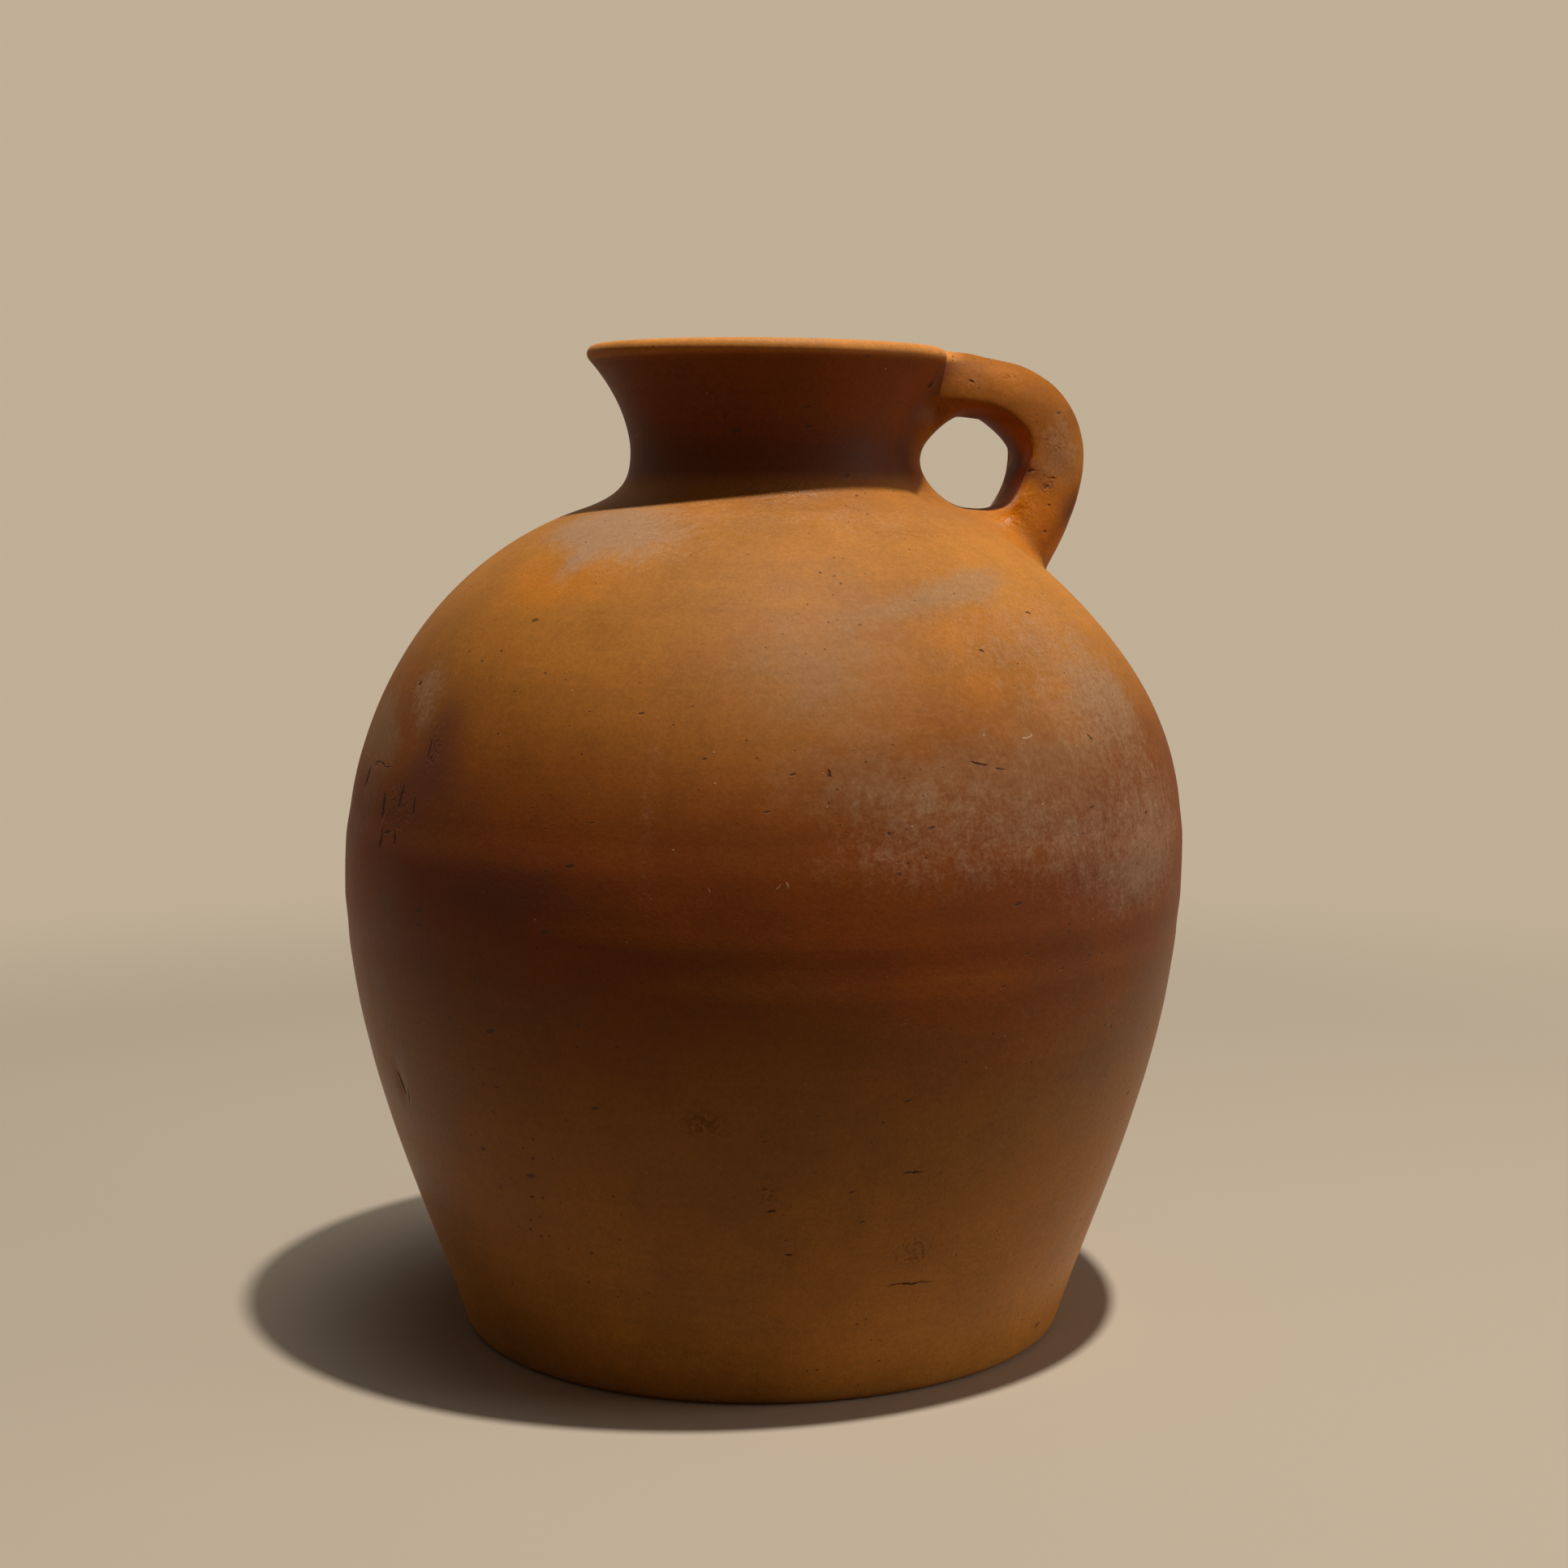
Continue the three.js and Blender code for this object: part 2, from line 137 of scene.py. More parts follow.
UP = leaning(0)
foot = place(FOOT_RADIUS, 0)
belly = place(BELLY_RADIUS, BELLY_HEIGHT)
neck_foot = place(NECK_FOOT_RADIUS, NECK_FOOT_HEIGHT)
waist = place(WAIST_RADIUS, WAIST_HEIGHT)
lip_middle = place(MOUTH_RADIUS - LIP_RADIUS, RIM_HEIGHT - LIP_RADIUS)
shoulder_up = leaning(SHOULDER_SLOPE - 90)
flare_up = leaning(MOUTH_FLARE)
under_lip = lip_middle + leaning(MOUTH_FLARE + 90) * LIP_RADIUS

lower_line = curve(foot, leaning(FOOT_LEAN), belly, UP, LOWER_PULLS)
shoulder_line = curve(belly, UP, neck_foot, shoulder_up, SHOULDER_PULLS)
hollow_line = curve(neck_foot, shoulder_up, waist, UP, HOLLOW_PULLS)
flare_line = curve(waist, UP, under_lip, flare_up, FLARE_PULLS)
print("belly", round(2 * BELLY_RADIUS / MM), "mm wide, rim", round(RIM_HEIGHT / MM), "mm high")

# %% [markdown]
# ## From a line to a wall of clay
# Each wall is a closed section: its outside line, its joint faces and its inside line. It is spun
# through one slice of a ring, and the slice is doubled until the ring closes. Spinning a line and
# thickening it with a modifier would also work, but then the joint faces between the members would
# not be flat. Rows lie close together on the outside, so that the marks of the hand can be shaped in
# the mesh, and wider apart inside.

# %% Turning a section
ROW = 1.8 * MM  # between points on the outside
INSIDE_ROW = 4 * MM
ROUGH_STEPS = 60  # points that a line is measured by
DOUBLINGS = 5  # of a slice, until the ring closes
SLICE_TURNS = 15  # faces in one slice, so there are 480 round the jug
WELD = 0.001 * MM  # points closer than this are one


def headings(points):
    """The direction of a row of points at each of them."""
    last = len(points) - 1
    return [
        (points[min(index + 1, last)] - points[max(index - 1, 0)]).normalized()
        for index in range(len(points))
    ]


def left_of(forward):
    """The direction to the left of another one, in the section."""
    return Vector((-forward.z, 0, forward.x))


def along(line, row, inset=0.0):
    """Points along a section line, about a row apart, moved inwards by the inset."""
    rough = interpolate_bezier(*line, ROUGH_STEPS)
    length = sum((after - before).length for before, after in zip(rough, rough[1:]))
    points = interpolate_bezier(*line, max(2, round(length / row)) + 1)
    return [point + left_of(forward) * inset for point, forward in zip(points, headings(points))]


def at_height(points, height):
    """The place on a rising row of points at a height."""
    for before, after in zip(points, points[1:]):
        if before.z <= height <= after.z:
            return before.lerp(after, (height - before.z) / (after.z - before.z))
    raise ValueError(f"the line doesn't reach a height of {height}")


def between(points, low, high):
    """The part of a rising row of points between two heights, cut off exactly there."""
    middle = [point for point in points if low + WELD < point.z < high - WELD]
    return [at_height(points, low), *middle, at_height(points, high)]


def turned(section, slice_turns=SLICE_TURNS, closed=True):
    """Spins a section through one slice of the ring, then doubles the slice until the ring closes."""
    clay = bmesh.new()
    corners = [clay.verts.new(point) for point in section]
    after = corners[1:] + corners[:1] if closed else corners[1:]
    edges = [clay.edges.new(pair) for pair in zip(corners, after)]
    angle = 2 * math.pi / 2 ** DOUBLINGS
    bmesh.ops.spin(
        clay, geom=corners + edges, cent=(0, 0, 0), axis=(0, 0, 1),
        angle=angle, steps=slice_turns, use_merge=False,
    )
    for _ in range(DOUBLINGS):
        copy = bmesh.ops.duplicate(clay, geom=clay.verts[:] + clay.edges[:] + clay.faces[:])["geom"]
        copied = [item for item in copy if isinstance(item, bmesh.types.BMVert)]
        bmesh.ops.rotate(clay, verts=copied, cent=(0, 0, 0), matrix=Matrix.Rotation(angle, 3, "Z"))
        angle *= 2
    bmesh.ops.remove_doubles(clay, verts=clay.verts, dist=WELD)
    bmesh.ops.recalc_face_normals(clay, faces=clay.faces)
    return clay


lower_points = along(lower_line, ROW)
shoulder_points = along(shoulder_line, ROW)
print("outside rows:", len(lower_points), "below the belly and", len(shoulder_points), "above it")

# %% [markdown]
# ## The hand of the potter
# A thrown jug is never quite true. Shallow rings run round the belly where the fingers rose, the body
# is a touch oval, the shoulder sank a little under the weight of the handle, and the neck leans.
# All members share these faults, so one function of space moves the points of every piece. That
# keeps the members fitted to each other, which a separate noise on each of them would not.

# %% Marks of throwing
RINGS = (  # height, half width, rise of the surface, tilt and the angle where it is highest
    (188, 5.0, -0.16, 3.0, -110), (179, 4.5, 0.12, 3.0, -110),
    (157, 5.0, 0.16, 2.6, -115), (149, 5.0, -0.14, 2.6, -115),
    (141, 4.0, 0.08, 2.0, -90), (206, 6.0, 0.08, 2.0, -60),
    (118, 6.0, 0.07, 2.0, 40), (84, 6.0, -0.06, 2.0, 100),
    (322, 3.0, 0.07, 1.0, 0), (330, 3.0, -0.06, 1.0, 90),
)
DENTS = (  # angle, height, half width, half height, depth
    (-8, 264, 62, 27, 2.2), (-35.7, 48, 7, 5, 0.5),
    (-160.8, 100, 3.5, 6, 0.7), (150, 235, 40, 30, 0.8),
    (60, 110, 45, 35, 0.7),
)
OVAL = 0.6 * MM
OVAL_TURN = math.radians(35)
UNEVEN = ((12, 0.35 * MM), (32, 0.10 * MM))  # waves to the metre and height of the noise
NECK_SHIFT = Vector((1.5, -0.3, 0)) * MM
NECK_LEAN = math.tan(math.radians(0.5))
LEAN_START = 262 * MM
LEAN_END = 305 * MM
BELLY_SHIFT = Vector((1.5, 0.2, 0)) * MM
SHIFT_HEIGHT = 208 * MM
SHIFT_HALF = 42 * MM
FADED = 3  # in half sizes, where a ring or dent has run out


def smooth_step(value, low, high):
    share = min(max((value - low) / (high - low), 0), 1)
    return share * share * (3 - 2 * share)


def hand_thrown(point):
    """Where the potter's hand left a point of the true form."""
    radius = math.hypot(point.x, point.y)
    angle = math.atan2(point.y, point.x)
    out = OVAL * math.cos(2 * (angle - OVAL_TURN))
    for height, half, rise, tilt, top in RINGS:
        level = (height + tilt * math.cos(angle - math.radians(top))) * MM
        apart = (point.z - level) / (half * MM)
        if abs(apart) < FADED:
            out += rise * MM * math.exp(-apart * apart)
    for where, height, half_width, half_height, depth in DENTS:
        turn = math.remainder(angle - math.radians(where), 2 * math.pi)
        apart = (turn * radius / half_width / MM) ** 2 + ((point.z / MM - height) / half_height) ** 2
        if apart < FADED ** 2:
            out -= depth * MM * math.exp(-apart)
    for waves, height in UNEVEN:
        out += height * noise.noise(point * waves)
    fade = min(radius / FOOT_RADIUS, 1)
    scale = 1 + out * fade / max(radius, WELD)
    high = smooth_step(point.z, LEAN_START, LEAN_END)
    sunk = NECK_LEAN * point.x * high
    swell = math.exp(-((point.z - SHIFT_HEIGHT) / SHIFT_HALF) ** 2)
    moved = Vector((point.x * scale, point.y * scale, point.z - sunk))
    return moved + NECK_SHIFT * high + BELLY_SHIFT * swell


print("rings:", len(RINGS), "dents:", len(DENTS))

# %% [markdown]
# ## Finishing a piece
# Every piece ends the same way: its points are moved by the hand, its joint faces get sharp edges so
# that the shading stops there, and it becomes an object that rides on the jug's only body and stands
# for its CAD node.

# %% Making the clay an object
SHARP = math.radians(25)
slots = {part["node"]: part["material_slot"] for part in frame["record"]["subparts"]}
pieces = {}
stands_for = {}


def as_object(name, clay):
    """Puts the clay into the scene as an object."""
    mesh = bpy.data.meshes.new(name)
    clay.to_mesh(mesh)
    clay.free()
    thing = bpy.data.objects.new(name, mesh)
    bpy.context.scene.collection.objects.link(thing)
    return thing


def finished(name, node, clay):
    """Makes an object of the clay. It stands for a CAD node, whose finish is put on it further on."""
    for vert in clay.verts:
        vert.co = hand_thrown(vert.co)
    clay.normal_update()
    for face in clay.faces:
        face.smooth = True
    for edge in clay.edges:
        edge.smooth = edge.calc_face_angle(0) < SHARP
    piece = as_object(name, clay)
    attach(piece, "root")
    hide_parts(node)
    pieces[name] = piece
    stands_for[name] = node
    print(name, "stands for", node, "with", len(piece.data.polygons), "faces")


print("finishes of", len(slots), "nodes")

# %% [markdown]
# ## Floor and floor seam
# The foot is a flat disc, a little rounded where it has rubbed on tables. A coil pressed into the
# inside corner seals it to the wall. Both are spun like the walls.

# %% Floor disc and the coil on it
DISC_SHARES = (0, 0.2, 0.4, 0.6, 0.8, 0.93)  # rings of the disc, of the foot's radius
ROUNDING_PULL = 0.6
ROUNDING_POINTS = 6
COIL_REACH = 10 * MM
COIL_EDGE = 0.8 * MM
COIL_PULL = 0.7
COIL_POINTS = 9


def eased(start, corner, end, pull, count):
    """A soft curve past a corner. The pull says how far it reaches into the corner."""
    return interpolate_bezier(start, start.lerp(corner, pull), end.lerp(corner, pull), end, count)


foot_edge = between(lower_points, FOOT_ROUNDING, FLOOR_TOP)
foot_start = foot - place(FOOT_ROUNDING, 0)
rounding = eased(foot_start, foot, foot_edge[0], ROUNDING_PULL, ROUNDING_POINTS)
disc_rings = [place(FOOT_RADIUS * share, 0) for share in DISC_SHARES]
top_rings = [place(ring.x, FLOOR_TOP) for ring in reversed(disc_rings)]
disc_section = [*disc_rings, *rounding, *foot_edge[1:], *top_rings]
finished("foot_floor", "floor_disc", turned(disc_section, closed=False))

inside_low = along(lower_line, INSIDE_ROW, BODY_WALL)
coil_wall = between(inside_low, FLOOR_TOP, FLOOR_TOP + COIL_REACH)
coil_toe = coil_wall[0] - place(COIL_REACH, -COIL_EDGE)
coil_top = coil_wall[-1] - place(COIL_EDGE, 0)
coil_deep = coil_wall[0] + place(-COIL_EDGE, COIL_EDGE)
coil_face = eased(coil_top, coil_deep, coil_toe, COIL_PULL, COIL_POINTS)
coil_heel = place(coil_toe.x, FLOOR_TOP)
finished("floor_seam", "floor_seam_coil", turned([*coil_wall, *coil_face, coil_heel]))

# %% [markdown]
# ## Lower wall, belly seam and shoulder
# The two wall sections meet at a seam with a shallow notch round it, which a soft coil fills. On the
# real jug the seam is smoothed flush, and only a faint ring tells of it, so the outside lines of the
# three members carry on from each other here.

# %% Lower wall
NOTCH_HALF = 5 * MM
NOTCH_DEPTH = 3 * MM
notch_low = at_height(lower_points, SEAM_HEIGHT - NOTCH_HALF)
notch_high = at_height(lower_points, SEAM_HEIGHT + NOTCH_HALF)
notch_bottom = at_height(lower_points, SEAM_HEIGHT) - place(NOTCH_DEPTH, 0)
lower_outside = between(lower_points, FLOOR_TOP, notch_low.z)
lower_inside = between(inside_low, FLOOR_TOP, SEAM_HEIGHT)
finished("lower_body", "lower_wall", turned([*lower_outside, notch_bottom, *reversed(lower_inside)]))

# %% Coil of the belly seam
seam_outside = between(lower_points, notch_low.z, notch_high.z)
finished("belly_seam", "belly_seam_coil", turned([*seam_outside, notch_bottom]))

# %% Shoulder
SEAT_LEDGE = 5.5 * MM
STEP = 1 * MM  # thickness of the neck coil at its edges
THROAT_RADIUS = WAIST_RADIUS - NECK_WALL
fall = math.tan(math.radians(SHOULDER_SLOPE))
step_foot = neck_foot - place(0, STEP)
seat_rise = (NECK_FOOT_RADIUS - WAIST_RADIUS - SEAT_LEDGE) * fall
seat_edge = place(WAIST_RADIUS + SEAT_LEDGE, step_foot.z + seat_rise)
shoulder_inside = along(shoulder_line, INSIDE_ROW, BODY_WALL)
throat_rise = (shoulder_inside[-1].x - THROAT_RADIUS) * fall
throat_low = place(THROAT_RADIUS, shoulder_inside[-1].z + throat_rise)
shoulder_section = [
    notch_bottom, *between(lower_points, notch_high.z, BELLY_HEIGHT)[:-1], *shoulder_points,
    step_foot, seat_edge, place(THROAT_RADIUS, seat_edge.z), throat_low,
    *reversed(shoulder_inside), lower_inside[-1],
]
finished("shoulder", "shoulder_wall", turned(shoulder_section))

# %% [markdown]
# ## Neck
# The neck is a short collar that flares to a round lip. A coil smoothed into the corner under it makes
# the hollow line from shoulder to neck. Coil and collar share the line of the outside, with a step of
# 1 mm under the coil's edges, because clay can't be drawn out to nothing.

# %% Coil and collar
LIP_STEPS = 12
THROAT_STEPS = 4


def round_lip(radius, sweep, last):
    """Points round the middle of the lip, from under it outwards and up. The sweep is in degrees."""
    return [
        lip_middle + leaning(MOUTH_FLARE + 90 - sweep * step / LIP_STEPS) * radius
        for step in range(1, last + 1)
    ]


hollow_points = along(hollow_line, ROW)
flare_points = along(flare_line, ROW)
flare_inside = along(flare_line, ROW, NECK_WALL)
collar_low = place(WAIST_RADIUS - STEP, seat_edge.z)
collar_high = place(WAIST_RADIUS - STEP, WAIST_HEIGHT)
coil_section = [collar_low, seat_edge, step_foot, *hollow_points, collar_high]
finished("neck_seam", "neck_seam_coil", turned(coil_section))

throat_fall = seat_edge.z - WAIST_HEIGHT
throat = [
    place(THROAT_RADIUS, WAIST_HEIGHT + throat_fall * (step / THROAT_STEPS))
    for step in range(1, THROAT_STEPS + 1)
]
lip = round_lip(LIP_RADIUS, 180, LIP_STEPS - 1)
collar_section = [collar_low, collar_high, *flare_points, *lip, *reversed(flare_inside), *throat]
finished("neck_and_lip", "neck_collar", turned(collar_section))

# %% [markdown]
# ## Handle
# The handle is a thick roll of clay, domed outside and flatter inside, bent over and pressed on with
# soft clay. It is made as the potter does it: a roll along a line, wads at both roots and in the
# corner under the upper one, a ring round the finger hole, and smoothing with a wet finger. A voxel
# remesh joins all of it to a piece of the body, smoothing rounds the corners between them, and a
# boolean takes the body away again. Joining the parts by hand would give cleaner rows, but not the
# soft hollow where clay is smeared onto clay.

# %% Line of the handle
HANDLE_ROW = 2 * MM
LEAVES_NECK = place(30, 9)  # mm, the way and how far it is kept
ENTERS_SHOULDER = place(-15, -18)
BEND_PULLS = (15, 5.5)  # mm, above and below the bend
handle_start = place(40.5, 328) * MM  # sunk in the neck
bend = place(93.3, 314) * MM
handle_end = place(78, 281) * MM  # sunk in the shoulder
upper_run = curve(handle_start, LEAVES_NECK, bend, -UP, (1, BEND_PULLS[0]))
lower_run = curve(bend, -UP, handle_end, ENTERS_SHOULDER, (BEND_PULLS[1], 1))
handle_points = along(upper_run, HANDLE_ROW)[:-1] + along(lower_run, HANDLE_ROW)
print("line of the handle:", len(handle_points), "rings")

# %% Roll of clay
HANDLE_SIDES = 48
CROWN = 17 * MM  # the outer side
CROWN_LIP_GROWTH = 4 * MM
CROWN_BEND_GROWTH = 6.8 * MM
CROWN_ROOT_GROWTH = 5.5 * MM
PALM = 5 * MM  # the side towards the fingers
PALM_BEND_LOSS = 4 * MM
PALM_ROOT_LOSS = 0.8 * MM
HALF_WIDTH = 16.5 * MM
ROOT_HALF_WIDTH = 20 * MM
CROWN_SQUARENESS = 2.4  # 2 is an ellipse
PALM_SQUARENESS = 1.4  # below 2 it meets the crown in an edge
LIP_SWELLS = (0.13, 0.22)  # from and to, in shares of the handle's length, as in the next four
LIP_SINKS = (0.2, 0.38)
BEND_SWELLS = (0.3, 0.65)
PALM_SINKS = (0.3, 0.6)
ROOT_WIDENS = (0.6, 1)


def rounded(value, squareness):
    return math.copysign(abs(value) ** (2 / squareness), value)


def edges_of(verts):
    return list(dict.fromkeys(edge for vert in verts for edge in vert.link_edges))


def handle_ring(clay, middle, forward, share):
    """One ring of the roll, shaped from a circle. The share is how far along the handle it is."""
    outward = left_of(forward)
    root = smooth_step(share, *ROOT_WIDENS)
    lip_growth = CROWN_LIP_GROWTH * smooth_step(share, *LIP_SWELLS) * (1 - smooth_step(share, *LIP_SINKS))
    growth = CROWN_BEND_GROWTH * smooth_step(share, *BEND_SWELLS) + CROWN_ROOT_GROWTH * root ** 2
    crown = CROWN + lip_growth + growth
    palm = PALM - PALM_BEND_LOSS * smooth_step(share, *PALM_SINKS) - PALM_ROOT_LOSS * root
    half_width = HALF_WIDTH + (ROOT_HALF_WIDTH - HALF_WIDTH) * root
    ring = bmesh.ops.create_circle(clay, segments=HANDLE_SIDES, radius=1)["verts"]
    for vert in ring:
        outer = vert.co.y > 0
        squareness = CROWN_SQUARENESS if outer else PALM_SQUARENESS
        lift = rounded(vert.co.y, squareness) * (crown if outer else palm)
        across = rounded(vert.co.x, squareness) * half_width
        vert.co = middle + outward * lift + Vector((0, across, 0))
    return edges_of(ring)


def handle_roll(clay):
    """A roll along the handle's line, with its ends closed."""
    reached = [0]
    for before, after in zip(handle_points, handle_points[1:]):
        reached.append(reached[-1] + (after - before).length)
    rings = [
        handle_ring(clay, middle, forward, length / reached[-1])
        for middle, forward, length in zip(handle_points, headings(handle_points), reached)
    ]
    for near, floor_glow in zip(rings, rings[1:]):
        bmesh.ops.bridge_loops(clay, edges=near + floor_glow)
    for end in (rings[0], rings[-1]):
        bmesh.ops.edgeloop_fill(clay, edges=end)
    bmesh.ops.recalc_face_normals(clay, faces=clay.faces)


mass = bmesh.new()
handle_roll(mass)
print("roll of", len(mass.faces), "faces")

# %% Wads of soft clay
WAD_SIDES = 48
NECK_WAD = Vector((11, 26, 31)) * MM  # half sizes
NECK_WAD_MIDDLE = waist + place(-5, 4) * MM
CORNER_WAD = Vector((9, 21, 9)) * MM
CORNER_MIDDLE = place(51, 325) * MM
ROOT_WAD = Vector((17, 25, 6.5)) * MM
ROOT_RADIUS = 85 * MM
FINE_ROW = 0.2 * MM
fine_shoulder = along(shoulder_line, FINE_ROW)
root_index = min(
    range(1, len(fine_shoulder) - 1), key=lambda index: abs(fine_shoulder[index].x - ROOT_RADIUS),
)
root_middle = fine_shoulder[root_index]
root_out = -left_of(headings(fine_shoulder)[root_index])
root_tilt = math.atan2(root_out.x, root_out.z)
WADS = (
    (NECK_WAD, NECK_WAD_MIDDLE, 0), (CORNER_WAD, CORNER_MIDDLE, 0), (ROOT_WAD, root_middle, root_tilt),
)
for size, middle, tilt in WADS:
    spot = Matrix.Translation(middle) @ Matrix.Rotation(tilt, 4, "Y") @ Matrix.Diagonal((*size, 1))
    wad = bmesh.ops.create_uvsphere(
        mass, u_segments=WAD_SIDES, v_segments=WAD_SIDES // 2, radius=1, matrix=spot,
    )["verts"]
    for vert in wad:  # wrapped round the jug
        vert.co = Matrix.Rotation(vert.co.y / middle.x, 3, "Z") @ place(vert.co.x, vert.co.z)
print("roll and wads of", len(mass.faces), "faces")

# %% Ring of clay round the finger hole
FINGER_SIDES = 24
FINGER_TURNS = 64
FINGER_MIDDLE = place(73.3, 310.2) * MM
FINGER_RADIUS = 17 * MM
FINGER_RING = 5 * MM  # thickness towards the hole
FINGER_HALF_WIDTH = 15 * MM
FINGER_STRETCH = 1.09  # the hole is wider than a circle
FINGER_TAPER = 31 * MM  # its upper half narrows as if to a point at this height
FINGER_TOP = 14 * MM  # up to here
FINGER_SLANT = 0.26  # and its lower half slants away from the neck
roll_and_wads = len(mass.verts)
finger_ring = bmesh.ops.create_circle(mass, segments=FINGER_SIDES, radius=1)["verts"]
for vert in finger_ring:
    across, lift = vert.co.x, vert.co.y
    reach = FINGER_RADIUS + FINGER_RING * (1 + lift)
    vert.co = FINGER_MIDDLE + Vector((reach, FINGER_HALF_WIDTH * across, 0))
bmesh.ops.spin(
    mass, geom=finger_ring + edges_of(finger_ring), cent=FINGER_MIDDLE, axis=(0, 1, 0),
    angle=2 * math.pi, steps=FINGER_TURNS, use_merge=True,
)
for vert in mass.verts[:][roll_and_wads:]:
    up = vert.co.z - FINGER_MIDDLE.z
    stretch = FINGER_STRETCH * (1 - (min(max(up, 0), FINGER_TOP) / FINGER_TAPER) ** 2)
    vert.co.x = FINGER_MIDDLE.x + (vert.co.x - FINGER_MIDDLE.x) * stretch + max(-up, 0) * FINGER_SLANT
bmesh.ops.recalc_face_normals(mass, faces=mass.faces)
print("with the ring round the finger hole:", len(mass.faces), "faces")

# %% Piece of the body that the handle is smeared onto
BLOCK_SLICE = 8  # faces in a slice, fewer than on the jug
BLOCK_CUTS = (  # points in mm and directions of the sides that are cut off
    ((36, 0, 0), (-1, 0, 0)), ((0, 0, 258), (0, 0, -1)), ((0, 38, 0), (0, 1, 0)), ((0, -38, 0), (0, -1, 0)),
)


def outside_section(inset, plug=0.0):
    """The jug's outside above the belly as one line from axis to axis, with a plug over the mouth."""
    line = along(shoulder_line, ROW, inset)
    line += along(hollow_line, ROW, inset)[1:] + along(flare_line, ROW, inset)[1:]
    line += round_lip(LIP_RADIUS - inset, MOUTH_FLARE + 90, LIP_STEPS)
    top = line[-1].z + plug
    return [place(0, line[0].z), *line, place(line[-1].x, top), place(0, top)]


def cut(clay, point, normal):
    """Takes off the clay on the side that the normal points to, and closes the cut."""
    geometry = clay.verts[:] + clay.edges[:] + clay.faces[:]
    made = bmesh.ops.bisect_plane(clay, geom=geometry, plane_co=point, plane_no=normal, clear_outer=True)
    rim = [item for item in made["geom_cut"] if isinstance(item, bmesh.types.BMEdge)]
    filled = bmesh.ops.holes_fill(clay, edges=rim, sides=0)["faces"]
    bmesh.ops.triangulate(clay, faces=filled)
    bmesh.ops.recalc_face_normals(clay, faces=clay.faces)


block = turned(outside_section(0), slice_turns=BLOCK_SLICE, closed=False)
body_skin = BVHTree.FromBMesh(block)
for point, normal in BLOCK_CUTS:
    cut(block, Vector(point) * MM, normal)
block_mesh = bpy.data.meshes.new("block")
block.to_mesh(block_mesh)
block.free()
mass.from_mesh(block_mesh)
bpy.data.meshes.remove(block_mesh)
print("roll, wads and body piece of", len(mass.faces), "faces")

# %% Joining and smoothing by a wet finger
VOXEL = 1.0 * MM
SMEAR_ZONE = 11 * MM  # how far from the body the corners are rounded
SMEAR_REACHES = (106, 103, 100, 97)  # mm from the axis, as the outer root is left crisper
SMEAR_ROUNDS = 10  # for each reach
POLISH_ROUNDS = 5
SMOOTHING = 0.5  # how far a point goes to the middle of its neighbours


def with_modifier(clay, kind, **settings):
    """The clay after one of Blender's modifiers."""
    work = as_object("work", clay)
    modifier = work.modifiers.new("work", kind)
    for key, value in settings.items():
        setattr(modifier, key, value)
    result = bmesh.new()
    result.from_object(work, bpy.context.evaluated_depsgraph_get())
    bpy.data.meshes.remove(work.data)
    return result


def over_body(point):
    """How far a point stands out of the body, and the place and direction of the body there."""
    spot, normal, _, distance = body_skin.find_nearest(point)
    return math.copysign(distance, (point - spot).dot(normal)), spot, normal


def smoothed(clay, verts, rounds):
    for _ in range(rounds):
        bmesh.ops.smooth_vert(
            clay, verts=verts, factor=SMOOTHING, use_axis_x=True, use_axis_y=True, use_axis_z=True,
        )


mass = with_modifier(mass, "REMESH", mode="VOXEL", voxel_size=VOXEL)
smeared = [vert for vert in mass.verts if -VOXEL < over_body(vert.co)[0] < SMEAR_ZONE]
for reach in SMEAR_REACHES:
    smoothed(mass, [vert for vert in smeared if vert.co.x < reach * MM], SMEAR_ROUNDS)
smoothed(mass, mass.verts, POLISH_ROUNDS)
print("joined and smoothed:", len(mass.verts), "points,", len(smeared), "of them smeared")

# %% Finger marks on the handle
HANDLE_UNEVEN = ((55, 0.5 * MM), (130, 0.18 * MM))  # waves to the metre and height, as on the body
MARKS_BEGIN = (2 * MM, 9 * MM)  # over the body, where they start and are full
THUMB_MARKS = (  # place, radius, depth
    ((93, -16, 341), 8, 0.8), ((114, -10, 322), 9, 0.9),
    ((104, -18, 305), 8, 0.7), ((116, 6, 305), 10, 0.8),
)


def spot_strength(point, spots):
    """How strongly round spots, each with its place, radius and strength, reach a point."""
    return sum(
        strength * math.exp(-(point / MM - Vector(middle)).length_squared / radius ** 2)
        for middle, radius, strength in spots
    )


mass.normal_update()
for vert in mass.verts:
    clear = smooth_step(over_body(vert.co)[0], *MARKS_BEGIN)
    if clear:
        push = sum(height * noise.noise(vert.co * waves) for waves, height in HANDLE_UNEVEN)
        push -= spot_strength(vert.co, THUMB_MARKS) * MM
        vert.co += vert.normal * push * clear
print("finger marks:", len(THUMB_MARKS))

# %% Taking the body away
FEATHER = 0.6 * MM  # clay thinner than this over the body slopes down into it
WIPED = 0.05 * MM  # and thinner than this goes under its skin
SINK = 0.3 * MM  # by so much
MOUTH_PLUG = 12 * MM  # closes the mouth of the core
LIP_MEETS = 14 * MM  # how far outside the lip's crest the handle is wiped level with it
LIP_FALL = 0.06  # and how steeply it falls outwards there
LIP_STEP = 0.3 * MM  # below the rim
for vert in mass.verts:
    outside = math.hypot(vert.co.x, vert.co.y) - lip_middle.x
    if outside < LIP_MEETS:
        vert.co.z = min(vert.co.z, RIM_HEIGHT - LIP_STEP - LIP_FALL * max(outside, 0))
    gap, spot, normal = over_body(vert.co)
    if -SINK < gap < FEATHER:
        vert.co = spot + normal * (gap - (gap + SINK) * (1 - smooth_step(gap, WIPED, FEATHER)))
